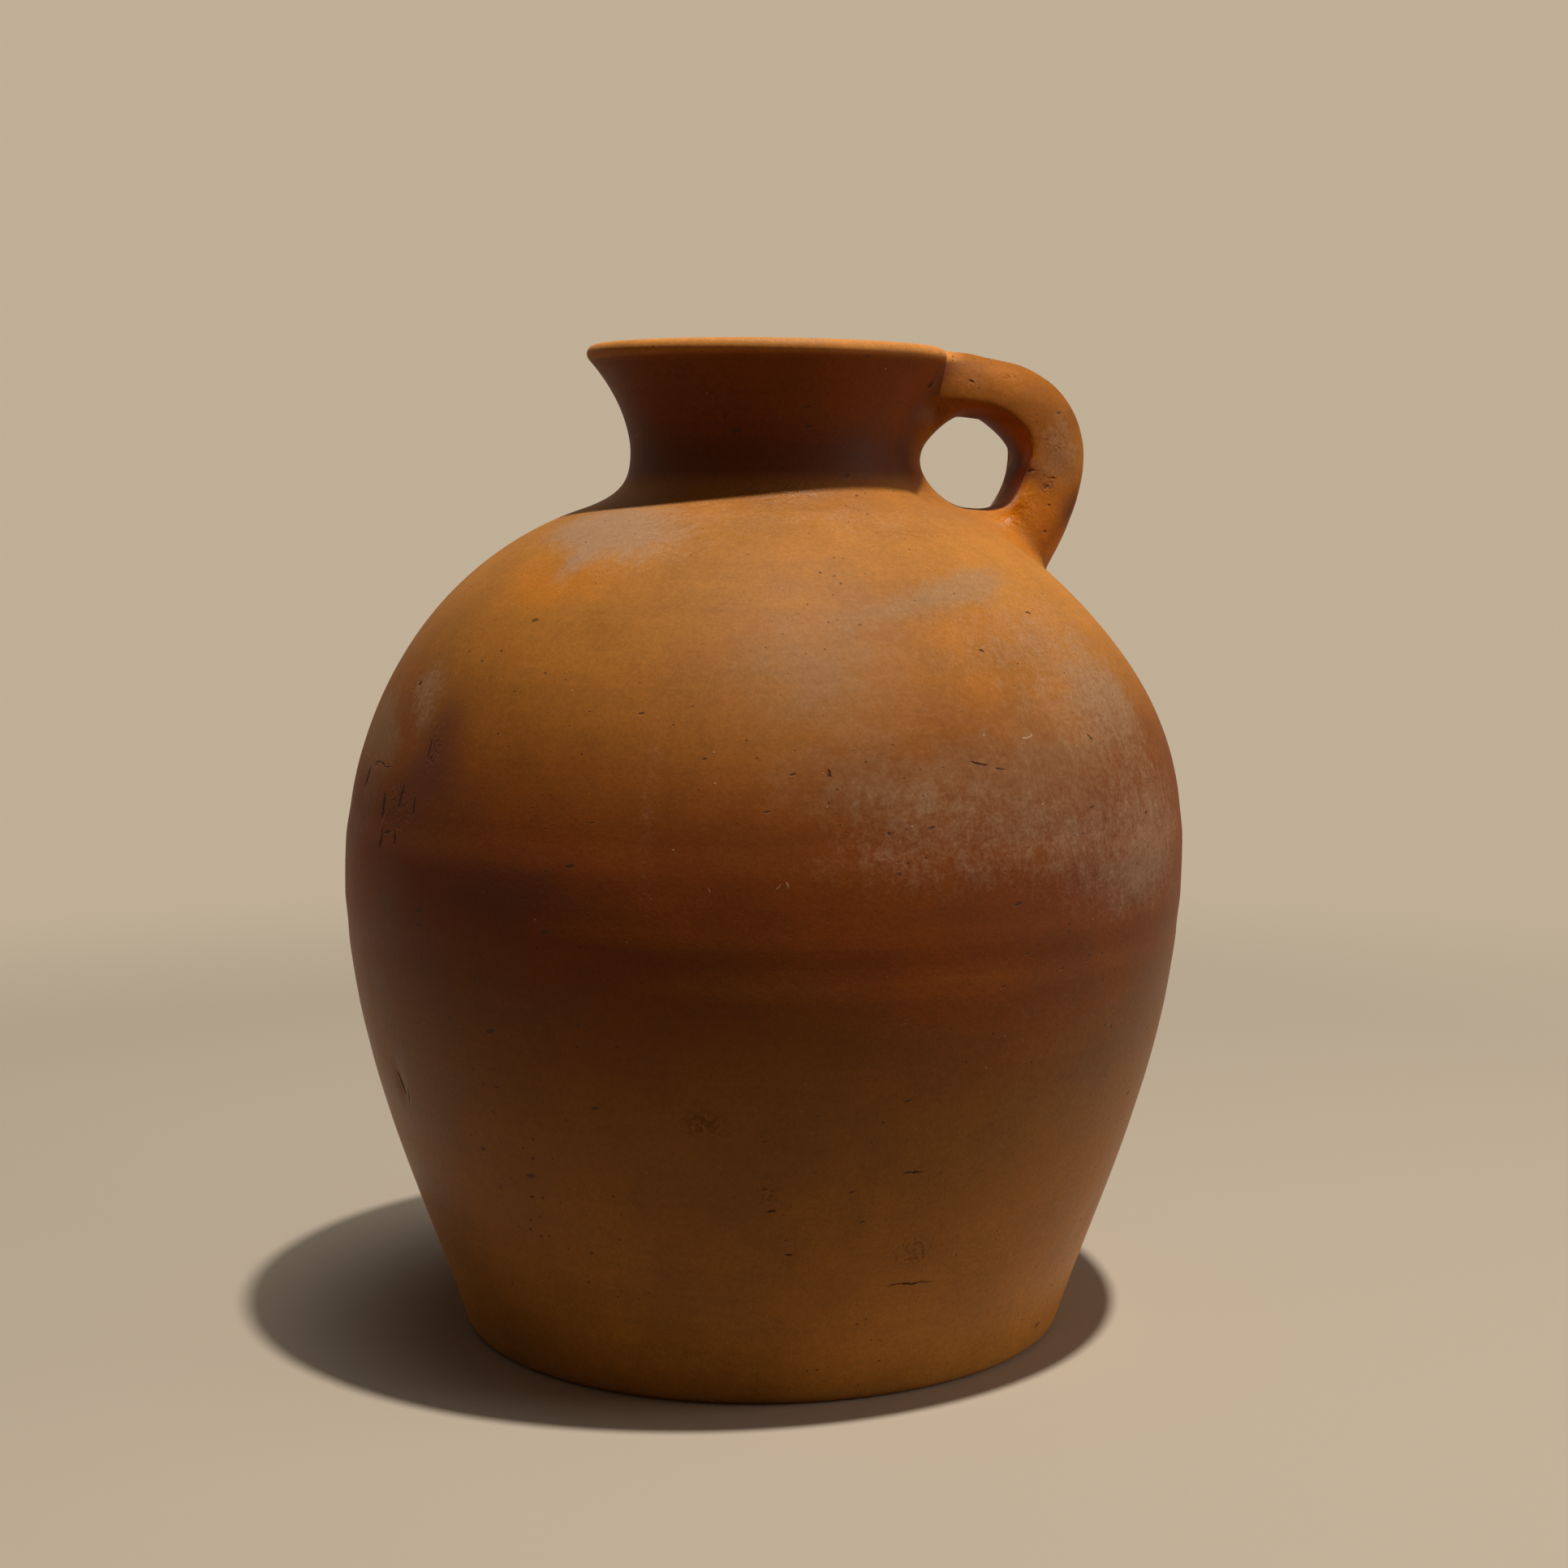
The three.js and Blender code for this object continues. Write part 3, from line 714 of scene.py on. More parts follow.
core_section = outside_section(SINK / 2, MOUTH_PLUG)
core = as_object("core", turned(core_section, slice_turns=BLOCK_SLICE, closed=False))
mass = with_modifier(mass, "BOOLEAN", operation="DIFFERENCE", solver="EXACT", object=core)
bpy.data.meshes.remove(core.data)
print("handle with its smeared roots:", len(mass.faces), "faces")

# %% Handle and wads as members of their own
NECK_JOINT = (Vector((54.5, 0, 321)) * MM, Vector((0.9, 0, 0.44)))  # a point and the direction of the cut
ROOT_WAD_TOP = 5  # mm over the shoulder
ROOT_JOINT = (root_middle + root_out * ROOT_WAD_TOP * MM, root_out)


def lumps(clay):
    """The points of the clay, sorted into lumps that hang together, the biggest last."""
    left, found = set(clay.verts), []
    while left:
        lump, ahead = [], [left.pop()]
        while ahead:
            lump.append(ahead.pop())
            near = {edge.other_vert(lump[-1]) for edge in lump[-1].link_edges} & left
            left -= near
            ahead += near
        found.append(lump)
    return sorted(found, key=len)


def member(*cuts):
    """A copy of the joined clay, cut to one member. Each cut keeps the side against its normal."""
    clay = mass.copy()
    for point, normal in cuts:
        cut(clay, point, normal)
    bmesh.ops.dissolve_degenerate(clay, dist=WELD, edges=clay.edges)
    for crumb in lumps(clay)[:-1]:
        bmesh.ops.delete(clay, geom=crumb, context="VERTS")
    return clay


def turned_round(joint):
    """The same joint, seen from its other side."""
    return joint[0], -joint[1]


finished("neck_root", "handle_neck_wad", member(NECK_JOINT))
finished("shoulder_root", "handle_shoulder_wad", member(turned_round(NECK_JOINT), ROOT_JOINT))
finished("loop_handle", "handle", member(turned_round(NECK_JOINT), turned_round(ROOT_JOINT)))
mass.free()

# %% [markdown]
# ## Painting the patches
# Fire and years of use left soft patches on the skin: pale bloom where salts came through, grey smoke,
# ember red where the fire was short of air, amber where hands have rubbed it, and polish where it is
# rubbed smooth. Some smoke and ember patches are painted light and shade instead: a broad smoke patch
# lightens the right of the belly, and broad ember patches darken the left of the belly, the palm of the
# loop and the underside of its lower outer edge. Each patch is an ellipse on the skin, given by where a
# maker would point to it: its angle round the jug from the handle, its height, its half width and half
# height, a slant and a strength. The strengths go into the mesh as attributes, as weight painting would
# do by hand, and the material frays their edges. One more layer marks the clay of the handle and of the
# inside of the mouth, which take the handle's tones, painted light among them. The side away from the
# photograph isn't known, so its patches are made up in the same manner.

# %% Patches on the body
PATCHES = {  # angle, height, half width, half height, slant, strength
    "bloom": (
        (-150, 287, 20, 6, 0, 1.0), (-132, 284, 24, 9, -8, 0.95), (-140, 276, 6, 8, 0, 0.7),
        (-58, 190, 58, 15, 4, 0.42), (-36, 186, 30, 22, 0, 0.6), (-84, 185, 26, 10, 0, 0.3),
        (-46, 171, 34, 11, 0, 0.55), (-80, 203, 34, 11, 0, 0.35), (-45, 228, 26, 18, 0, 0.5),
        (-52, 252, 50, 22, 0, 0.45), (-158, 236, 10, 8, 0, 0.6), (-155, 226, 9, 9, 0, 0.4),
        (-78, 290, 60, 7, 0, 0.35), (-114.3, 203, 4, 42, 0, 0.22), (70, 268, 45, 12, 8, 0.8),
        (140, 196, 50, 13, 0, 0.9), (100, 288, 50, 7, 0, 0.5), (22, 201, 52, 10, 6, 0.5),
        (38, 212, 18, 9, 0, 0.4),
    ),
    "smoke_and_light": (
        (-66, 267, 31, 4.5, 11, 0.9), (-58, 268, 15, 6, 12, 0.45), (-39, 232, 8, 13, 20, 0.5),
        # painted light: the broad patch at -60 degrees, 214 mm lightens the right of the belly, where more
        # light falls
        (-92, 243, 34, 26, 0, 0.55), (-60, 214, 55, 14, 0, 0.5), (-60, 192, 55, 14, 0, 0.45),
        (-48, 232, 45, 15, 0, 0.5), (-86, 206, 38, 12, 0, 0.4), (-55, 110, 60, 45, 0, 0.35),
        (-171, 219, 20, 14, 0, 1.0), (-162, 213, 11, 8, 0, 0.45), (-166, 194, 14, 13, 0, 0.45),
        (95, 240, 32, 24, -10, 0.6), (160, 176, 35, 14, 0, 0.5), (50, 120, 40, 30, 0, 0.4),
    ),
    "ember_and_shade": (
        (-149, 220, 11, 15, 0, 0.85), (-131, 174, 34, 12, 0, 0.9), (-150, 206, 22, 9, 0, 0.7),
        # painted shade: the broad patch at -152 degrees, 156 mm darkens the left of the belly, where less
        # light falls
        (-156, 192, 18, 10, 0, 0.4), (-152, 156, 42, 32, 0, 0.45), (-75, 170, 40, 6, 0, 0.4),
        (110, 172, 40, 12, 0, 0.8), (30, 230, 20, 14, 0, 0.4),
    ),
    "amber": (
        (-142, 270, 30, 10, 0, 0.7), (-70, 255, 40, 8, 5, 0.35), (-62, 240, 38, 12, 0, 0.35),
        (-57, 222, 34, 9, 0, 0.3), (0, 281, 26, 9, 0, 0.8), (120, 262, 40, 14, 0, 0.5),
    ),
    "polish": ((-93, 299, 17, 3.5, 0, 1.7), (75, 298, 14, 4, 0, 0.8), (160, 299, 16, 3.5, 0, 0.7)),
}
FADE = 2.2  # in half sizes, where a patch has faded out


def patch_strength(point, patches):
    """How strongly the patches of one kind cover a point of the skin."""
    angle = math.atan2(point.y, point.x)
    radius = math.hypot(point.x, point.y) / MM
    total = 0
    for where, height, half_width, half_height, slant, strength in patches:
        up = point.z / MM - height
        lean = math.radians(slant)
        if abs(up) > FADE * (half_height + half_width * abs(math.sin(lean))):
            continue
        side = math.remainder(angle - math.radians(where), 2 * math.pi) * radius
        across = (side * math.cos(lean) + up * math.sin(lean)) / half_width
        rise = (up * math.cos(lean) - side * math.sin(lean)) / half_height
        total += strength * math.exp(-across * across - rise * rise)
    return total


print("patches:", ", ".join(f"{len(patches)} of {kind}" for kind, patches in PATCHES.items()))

# %% Spots on the handle, and painting
HANDLE_PIECES = ("neck_root", "shoulder_root", "loop_handle")
SPOTS = {  # place, radius, strength
    "bloom": (((106, -15, 310), 10, 0.55), ((104, -15, 318), 8, 0.3), ((72, -16, 338), 7, 0.2)),
    "smoke_and_light": (((106, -14, 324), 6, 0.5), ((89, -13, 340), 5, 0.4)),
    # painted shade: the spots at (111, -12, 290), (113, 0, 289) and (110, 13, 291) darken the underside of
    # the loop's lower outer edge, and those at (90, 0, 310) and (78, 0, 329) the palm inside the loop
    "ember_and_shade": (
        ((94, -17, 306), 4, 0.6), ((99, -17, 304), 6, 0.4), ((111, -12, 290), 11, 0.6),
        ((113, 0, 289), 11, 0.45), ((110, 13, 291), 12, 0.4), ((90, 0, 310), 13, 1.2),
        ((78, 0, 329), 10, 1.0),
    ),
    "amber": (((94, -17, 289), 13, 1.2), ((86, -14, 340), 9, 0.5), ((94, 17, 289), 13, 1.2)),
    "polish": (((87, -17.5, 293), 8, 1.6), ((87, 17.5, 293), 8, 1.4)),
}
HANDLE_TONES_REACH = (2.5 * MM, 10 * MM)  # over the skin of the body, where its tones turn into the handle's
MOUTH_TONES_REACH = (1 * MM, 5 * MM)  # the same below the skin, inside the neck


def paint(piece, kind, values):
    """Writes one value for each point of a piece into a layer of its mesh."""
    layer = piece.data.attributes.new(kind, "FLOAT", "POINT")
    layer.data.foreach_set("value", values)


for name, piece in pieces.items():
    points = [vert.co for vert in piece.data.vertices]
    on_handle = name in HANDLE_PIECES
    for kind, patches in PATCHES.items():
        spots = SPOTS[kind] if on_handle else ()
        paint(piece, kind, [patch_strength(point, patches) + spot_strength(point, spots) for point in points])
    if on_handle or name == "neck_and_lip":
        reach = HANDLE_TONES_REACH if on_handle else MOUTH_TONES_REACH
        paint(piece, "handle_tones_share", [smooth_step(abs(over_body(point)[0]), *reach) for point in points])
print("painted layers:", ", ".join(PATCHES), "and worn")

# %% [markdown]
# ## Fired clay
# The clay is one material built from layers, as it came about: the body colour, redder at the belly and
# paler on the shoulder, then clouds from the kiln, the painted patches, faint turning lines, grain and
# dark dashes of burnt-out straw. The body colour also holds painted light and shade: it is lighter at
# the foot as painted light from the floor, darker round the belly partly as painted shade where the
# light falls off, dark on the neck partly as the painted shadow of the rim, and bright along the top
# of the lip and dark under it as a painted highlight and painted shade. Each layer is a noise texture
# of its own scale. All of them read object coordinates, and every piece has its origin at the origin of
# the jug, so the pattern runs on from member to member without a seam.

# %% Small helpers for nodes


def feed(socket, value):
    """Sets a socket to a value, or links another node's output to it."""
    if isinstance(value, bpy.types.NodeSocket):
        socket.id_data.links.new(value, socket)
    else:
        socket.default_value = value


def add(tree, kind, inputs=None, **settings):
    """Adds a node, with its settings and its inputs by name."""
    node = tree.nodes.new("ShaderNode" + kind)
    for key, value in settings.items():
        setattr(node, key, value)
    for key, value in (inputs or {}).items():
        feed(node.inputs[key], value)
    return node


def maths(tree, operation, *values, kind="Math", output=0):
    node = add(tree, kind, operation=operation)
    for socket, value in zip(node.inputs, values):
        feed(socket, value)
    return node.outputs[output]


def vectors(tree, operation, *values, output="Vector"):
    return maths(tree, operation, *values, kind="VectorMath", output=output)


def scaled(tree, value, low, high, start=0.0, end=1.0):
    """A value mapped softly from one range to another."""
    inputs = {"Value": value, "From Min": low, "From Max": high, "To Min": start, "To Max": end}
    return add(tree, "MapRange", inputs, interpolation_type="SMOOTHSTEP").outputs["Result"]


def mixed(tree, share, first, second, blend_type="MIX"):
    node = add(tree, "Mix", data_type="RGBA", blend_type=blend_type)
    for index, value in ((0, share), (6, first), (7, second)):
        feed(node.inputs[index], value)
    return node.outputs[2]


def speckled(tree, coords, scale, detail=3.0, roughness=0.5):
    inputs = {"Vector": coords, "Scale": scale, "Detail": detail, "Roughness": roughness}
    return add(tree, "TexNoise", inputs).outputs["Fac"]


def ramp(tree, share, tones):
    """A colour that changes with the share of the jug's height. The tones rise from foot to rim."""
    node = add(tree, "ValToRGB", {"Fac": share})
    elements = node.color_ramp.elements
    for where, *_ in tones[1:-1]:
        elements.new(where * MM / RIM_HEIGHT)
    for element, (_, *tone) in zip(elements, tones):
        element.color = (*tone, 1)
    return node.outputs["Color"]


print("node helpers ready")

# %% Colours of the clay
# Painted light and shade run through these tones: the foot is lightened as by light from the floor, the belly
# darkened partly as shade where the light falls off, the neck from 306 mm darkened partly as the painted
# shadow of the rim, and the lip lit along its top from 346.5 mm and shaded under it.
TONES = (  # height in mm, colour
    (0, 0.74, 0.295, 0.050), (45, 0.53, 0.198, 0.032), (105, 0.37, 0.130, 0.018),
    (140, 0.27, 0.068, 0.006), (165, 0.25, 0.052, 0.003), (195, 0.25, 0.055, 0.004),
    (218, 0.27, 0.072, 0.005), (248, 0.40, 0.140, 0.016), (280, 0.48, 0.180, 0.026),
    (300, 0.43, 0.150, 0.022), (306, 0.12, 0.026, 0.002), (312, 0.10, 0.021, 0.001),
    (325, 0.18, 0.040, 0.002), (343, 0.21, 0.052, 0.006), (344.5, 0.25, 0.072, 0.009),
    (346.5, 0.68, 0.250, 0.046), (350, 0.72, 0.270, 0.050),
)
# The handle's tones also hold painted light: the bend at 308 mm and the root at 280 mm are lightened where
# the roll turns away from the lamp. The inside of the mouth takes these tones too, so that the painted shade
# of the neck stays off it.
HANDLE_TONES = (
    (0, 0.42, 0.120, 0.004), (280, 0.62, 0.190, 0.006), (290, 0.42, 0.112, 0.001),
    (308, 0.53, 0.168, 0.010), (324, 0.29, 0.083, 0.004), (340, 0.34, 0.100, 0.004),
    (350, 0.37, 0.112, 0.006),
)
BLOOM = (0.43, 0.240, 0.125, 1)
# grey of smoke, also used as painted light that lightens the right of the belly
SMOKE_AND_LIGHT = (0.35, 0.190, 0.085, 1)
# ember red of the kiln, also used as painted shade on the left of the belly and on the handle's palm and
# lower outer edge
EMBER_AND_SHADE = (0.13, 0.030, 0.010, 1)
AMBER = (0.72, 0.200, 0.003, 1)
BURNT = (0.048, 0.022, 0.010, 1)
CHALK = (0.58, 0.360, 0.200, 1)
print("tones:", len(TONES), "on the body and", len(HANDLE_TONES), "on the handle")

# %% Noises and layers
NOISES = {  # waves to the metre, detail and roughness
    "drift": (9.0, 3.0, 0.5), "cloud": (30.0, 5.0, 0.6), "fray": (110.0, 8.0, 0.7),
    "mottle": (380.0, 4.0, 0.65), "grain": (1000.0, 2.0, 0.6), "streak": (420.0, 5.0, 0.7),
    "lines": (420.0, 4.0, 0.6), "crowd": (16.0, 4.0, 0.5),
}
DRAWN_OUT = {"streak": (1.0, 1.0, 0.3), "lines": (0.03, 0.03, 1.0)}  # upright and along the ground
NOISE_MIDDLE = 0.5


def clay_noises(tree, coords, noises):
    """The noises of a clay by their names."""
    layers = {}
    for name, numbers in noises.items():
        drawn = vectors(tree, "MULTIPLY", coords, DRAWN_OUT[name]) if name in DRAWN_OUT else coords
        layers[name] = speckled(tree, drawn, *numbers)
    return layers


def summed(tree, layers, amounts, total=0.0):
    """Layers added to a total, each by its amount."""
    for name, amount in amounts.items():
        total = maths(tree, "MULTIPLY_ADD", layers[name], amount, total)
    return total


def swung(tree, layers, amounts, total=0.0):
    """Noises added to a total, each made to swing round nought by its amount."""
    for name, amount in amounts.items():
        swing = maths(tree, "SUBTRACT", layers[name], NOISE_MIDDLE)
        total = maths(tree, "MULTIPLY_ADD", swing, amount, total)
    return total


print("noises:", ", ".join(NOISES))

# %% Colour with its patches
STRAY = {"drift": 50 * MM}  # how far the borders of the tones stray up and down
# the borders of the tones stay level above 300 mm, where the neck's painted shadow of the rim begins
STRAIGHT = (285 * MM, 300 * MM)  # above this they no longer do
NOISE_RANGE = (0.3, 0.7)  # where most of a noise lies
KILN_TONES = {"drift": (0.9, 1.1), "cloud": (0.88, 1.1)}  # how dark and how light a noise makes it
SKIN_TONES = {"lines": (0.97, 1.03), "mottle": (0.94, 1.06), "grain": (0.92, 1.08)}
TORN = {"fray": 0.8, "mottle": 0.6}
TORN_DOWN = {"streak": 0.8, "grain": 0.6}  # for bloom, which also runs down the skin
CLOUDED = {"cloud": 0.8}
RUBBED = {"fray": 0.8}
FRINGE = (0.02, 0.2)  # painted strengths below which nothing shows and above which all does
COVER = (0.1, 1.1)  # strengths, once torn, at which a patch begins and is full
PAINTS = {  # cover, share of the tint, tint
    "ember_and_shade": (COVER, 0.82, EMBER_AND_SHADE), "smoke_and_light": ((0.15, 0.95), 0.6, SMOKE_AND_LIGHT),
    "amber": (COVER, 0.65, AMBER), "bloom": (COVER, 0.8, BLOOM),
}


def frayed(tree, kind, fray, low, high):
    """The painted layer of one kind with its edges broken up by a swinging noise."""
    layer = add(tree, "Attribute", attribute_name=kind).outputs["Fac"]
    torn = scaled(tree, maths(tree, "ADD", layer, fray), low, high)
    return maths(tree, "MULTIPLY", torn, scaled(tree, layer, *FRINGE))


def toned(tree, colour, layers, tones):
    """The colour made darker and lighter by noises."""
    for name, (dark, light) in tones.items():
        shade = scaled(tree, layers[name], *NOISE_RANGE, dark, light)
        colour = mixed(tree, 1.0, colour, shade, "MULTIPLY")
    return colour


def tinted(tree, colour, mask, share, tint):
    return mixed(tree, maths(tree, "MULTIPLY", mask, share), colour, tint)


def painted(tree, layers, height):
    """The colour of the clay, and how strongly each kind of patch covers it."""
    straight = scaled(tree, height, *STRAIGHT, 1.0, 0.0)
    stray = maths(tree, "MULTIPLY", swung(tree, layers, STRAY), straight)
    share = maths(tree, "DIVIDE", maths(tree, "ADD", height, stray), RIM_HEIGHT)
    # the handle's tones, with their painted light, take over on the handle and inside the mouth
    handle_tones_share = add(tree, "Attribute", attribute_name="handle_tones_share").outputs["Fac"]
    colour = mixed(tree, handle_tones_share, ramp(tree, share, TONES), ramp(tree, share, HANDLE_TONES))
    colour = toned(tree, colour, layers, KILN_TONES)
    torn = swung(tree, layers, TORN)
    frays = {
        "ember_and_shade": torn, "smoke_and_light": torn, "amber": swung(tree, layers, CLOUDED),
        "bloom": swung(tree, layers, TORN_DOWN, torn),
    }
    patches = {"polish": frayed(tree, "polish", swung(tree, layers, RUBBED), *COVER)}
    for kind, (cover, share, tint) in PAINTS.items():
        patches[kind] = frayed(tree, kind, frays[kind], *cover)
        colour = tinted(tree, colour, patches[kind], share, tint)
    return toned(tree, colour, layers, SKIN_TONES), patches


print("paints:", ", ".join(PAINTS))

# %% Straw and sand
FLECK_LUCK = 2.0  # above 1, small flecks are commoner than big ones
FLECK_EDGE = 0.02
CROWDING = 0.08  # how much smoke and bloom add to the crowd of burnt-out straw
DASH_SLANT = math.radians(14)
DASH_SHAPE = (0.36, 0.36, 1.0)  # drawn out along the ground
DASHES = 230.0  # flecks to the metre
DASH_CROWD = (0.44, 0.66, 0.05, 0.18)  # range of the crowd, and of the size of the flecks
SPECKS = 330.0
SPECK_CROWD = (0.44, 0.68, 0.08, 0.20)
SAND = 150.0
SAND_SIZE = 0.06


def flecks(tree, coords, scale, crowd):
    """Flecks of many sizes. The crowd, a number or a noise, says how big they get."""
    cells = add(tree, "TexVoronoi", {"Vector": coords, "Scale": scale, "Randomness": 1.0}).outputs
    luck = add(tree, "SeparateColor", {"Color": cells["Color"]}).outputs["Red"]
    reach = maths(tree, "MULTIPLY", maths(tree, "POWER", luck, FLECK_LUCK), crowd)
    apart = maths(tree, "SUBTRACT", cells["Distance"], reach)
    return scaled(tree, apart, -FLECK_EDGE, FLECK_EDGE, 1.0, 0.0)


def strewn(tree, coords, crowd, patches):
    """Where straw has burnt out, as dashes and specks, and where grains of sand show."""
    crowded = maths(tree, "ADD", patches["smoke_and_light"], patches["bloom"])
    crowd = maths(tree, "MULTIPLY_ADD", crowded, CROWDING, crowd)
    slanted = add(tree, "VectorRotate", {"Vector": coords, "Angle": DASH_SLANT}, rotation_type="Y_AXIS")
    lying = vectors(tree, "MULTIPLY", slanted.outputs["Vector"], DASH_SHAPE)
    dashes = flecks(tree, lying, DASHES, scaled(tree, crowd, *DASH_CROWD))
    specks = flecks(tree, coords, SPECKS, scaled(tree, crowd, *SPECK_CROWD))
    return maths(tree, "MAXIMUM", dashes, specks), flecks(tree, coords, SAND, SAND_SIZE)


print("straw slants by", round(math.degrees(DASH_SLANT)), "degrees")

# %% Flaws in the clay
RAGGEDNESS = {"Scale": 260.0, "Detail": 3.0}  # of the noise that makes cracks ragged
SHAKE = 3 * MM  # and how far it shifts them
PITS = (700.0, 4.0)  # noise of the pits in a rough spot
PITTED = (0.48, 0.62)
FLAW_CORES = {"crack": 0.5, "pit": 0.2, "scuff": 0.5, "rough": 0.1}  # share of the size before the edge


def flaw_masks(tree, coords, flaws):
    """One mask for each kind of flaw. Each flaw has a kind, a spot on the skin, a turn and a size."""
    shaken = add(tree, "TexNoise", {"Vector": coords, **RAGGEDNESS}).outputs["Color"]
    shaken = vectors(tree, "SUBTRACT", shaken, (NOISE_MIDDLE,) * 3)
    ragged = vectors(tree, "MULTIPLY_ADD", shaken, (SHAKE,) * 3, coords)
    masks = {}
    for kind, spot, turn, size in flaws:
        laid = {"Vector": ragged, "Location": spot, "Rotation": turn, "Scale": size}
        apart = add(tree, "Mapping", laid, vector_type="TEXTURE").outputs["Vector"]
        apart = vectors(tree, "LENGTH", apart, output="Value")
        mask = scaled(tree, apart, FLAW_CORES[kind], 1.0, 1.0, 0.0)
        masks[kind] = maths(tree, "MAXIMUM", mask, masks[kind]) if kind in masks else mask
    if "rough" in masks:
        pits = scaled(tree, speckled(tree, coords, *PITS), *PITTED)
        masks["rough"] = maths(tree, "MULTIPLY", masks["rough"], pits)
    return masks


print("kinds of flaws:", ", ".join(FLAW_CORES))

# %% The clay
ROUGHNESS = (0.42, 0.62)  # burnished below the belly, dull above it
BURNISHED = (120 * MM, 200 * MM)
ROUGHENED = {"bloom": 0.2, "amber": -0.08, "polish": -0.31}
UNEVEN_SHINE = {"cloud": 0.25}
GLOSS = 0.2  # specular level
STRAW_SHARE = 0.7
SAND_SHARE = 0.6
RELIEF = {
    "grain": 0.035 * MM, "mottle": 0.07 * MM, "fray": 0.12 * MM, "glints": 0.7 * MM,
    "lines": 0.025 * MM, "straw": -0.12 * MM, "sand": 0.1 * MM,
}
FLAW_DEPTHS = {"crack": -0.5 * MM, "pit": -0.4 * MM, "scuff": 0.1 * MM, "rough": -0.25 * MM}
FLAW_SHARES = {"crack": 0.85, "pit": 0.6, "scuff": 0.65, "rough": 0.3}  # how much their tint covers
FLAW_ROUGHNESS = 0.85


def new_clay(name):
    """A new material, the coordinates in the jug and the height above the table."""
    material = bpy.data.materials.new(name)
    material.use_nodes = True
    coords = add(material.node_tree, "TexCoord").outputs["Object"]
    return material, coords, add(material.node_tree, "SeparateXYZ", {"Vector": coords}).outputs["Z"]


def dressed(tree, colour, roughness, depth, gloss):
    """Gives the shader of a clay its colour, its roughness, its relief and its gloss."""
    shader = tree.nodes["Principled BSDF"]
    bump = add(tree, "Bump", {"Height": depth, "Strength": 1.0, "Distance": 1.0})
    feed(shader.inputs["Base Color"], colour)
    feed(shader.inputs["Roughness"], roughness)
    feed(shader.inputs["Normal"], bump.outputs["Normal"])
    shader.inputs["Specular IOR Level"].default_value = gloss


def fired_clay(name, flaws):
    """Burnished red clay with its patches, straw, sand and flaws."""
    material, coords, height = new_clay(name)
    tree = material.node_tree
    layers = clay_noises(tree, coords, NOISES)
    colour, patches = painted(tree, layers, height)
    straw, sand = strewn(tree, coords, layers["crowd"], patches)
    glints = maths(tree, "MULTIPLY", patches["polish"], layers["mottle"])
    layers.update(patches, straw=straw, sand=sand, glints=glints)
    colour = tinted(tree, colour, straw, STRAW_SHARE, BURNT)
    colour = tinted(tree, colour, sand, SAND_SHARE, CHALK)
    roughness = summed(tree, layers, ROUGHENED, scaled(tree, height, *BURNISHED, *ROUGHNESS))
    roughness = swung(tree, layers, UNEVEN_SHINE, roughness)
    depth = summed(tree, layers, RELIEF)
    for kind, mask in flaw_masks(tree, coords, flaws).items():
        colour = tinted(tree, colour, mask, FLAW_SHARES[kind], CHALK if kind == "scuff" else BURNT)
        depth = maths(tree, "MULTIPLY_ADD", mask, FLAW_DEPTHS[kind], depth)
        roughness = maths(tree, "MAXIMUM", roughness, maths(tree, "MULTIPLY", mask, FLAW_ROUGHNESS))
    dressed(tree, colour, roughness, depth, GLOSS)
    return material


print("clay ready to be put on")

# %% [markdown]
# ## Flaws at their places
# Some marks are single events: cracks from drying, a scuff, spots where a stone was dragged out. On
# the body they are given by their angle from the handle and their height, on the handle by how far
# out from the axis they lie on its front.

# %% Cracks, scuffs and rough spots
BODY_FLAWS = {  # angle, height, half width, half height, slant
    "crack": (
        (-72, 214, 4, 0.5, -16), (-69, 212.3, 2.2, 0.45, 0), (-160, 195, 1.3, 6.5, 4),
        (-155.3, 199, 1.0, 5, -6), (-151.6, 196.7, 0.9, 4, 6), (-159.2, 184.5, 1.1, 4.5, -5),
        (-155.5, 186, 0.9, 3.5, 10), (-157.5, 187, 3.0, 0.6, 14), (-168.8, 202, 1.6, 5, -8),
        (-163, 208, 9, 0.45, -4), (-151, 215, 0.5, 5, 8), (-160.7, 235.2, 1.1, 1, 0),
        (-50.8, 259.2, 1.9, 0.5, -22), (-66.3, 248.3, 1.2, 0.6, -20), (-92.3, 213, 1.9, 0.4, -50),
        (-51.3, 219.5, 1.6, 0.6, -30), (118, 214, 5, 0.5, 10),
    ),
    "scuff": (
        (-63.5, 221, 2.8, 0.45, 0), (-62.6, 221.5, 1.2, 0.5, 50), (-98.7, 179.2, 1.5, 0.35, 40),
        (-97.6, 179, 0.35, 1.5, 10), (-107, 178, 0.35, 1.1, 10), (152, 226, 3, 0.5, -12),
    ),
    "rough": ((-156, 196, 14, 13, 0), (-150, 216, 6, 11, 0), (60, 236, 9, 6, 0)),
}
LOW_FLAWS = {
    "crack": (
        (-77.5, 42.8, 10, 0.4, -3), (-161, 100, 0.9, 5, 15), (-159, 97, 0.6, 4, -25),
        (-99.5, 73, 1.8, 0.5, 0), (-80, 84, 4, 0.4, 3), (-97, 57, 1.8, 0.4, 10),
        (60, 70, 6, 0.4, 8), (170, 60, 5, 0.4, -5),
    ),
    "rough": ((-108, 103, 14, 8, 5), (-100, 80, 6, 9, 0), (-78, 55, 12, 9, 0), (120, 90, 12, 8, 0)),
}
NECK_FLAWS = {"crack": ((140, 322, 3, 0.4, 6),)}
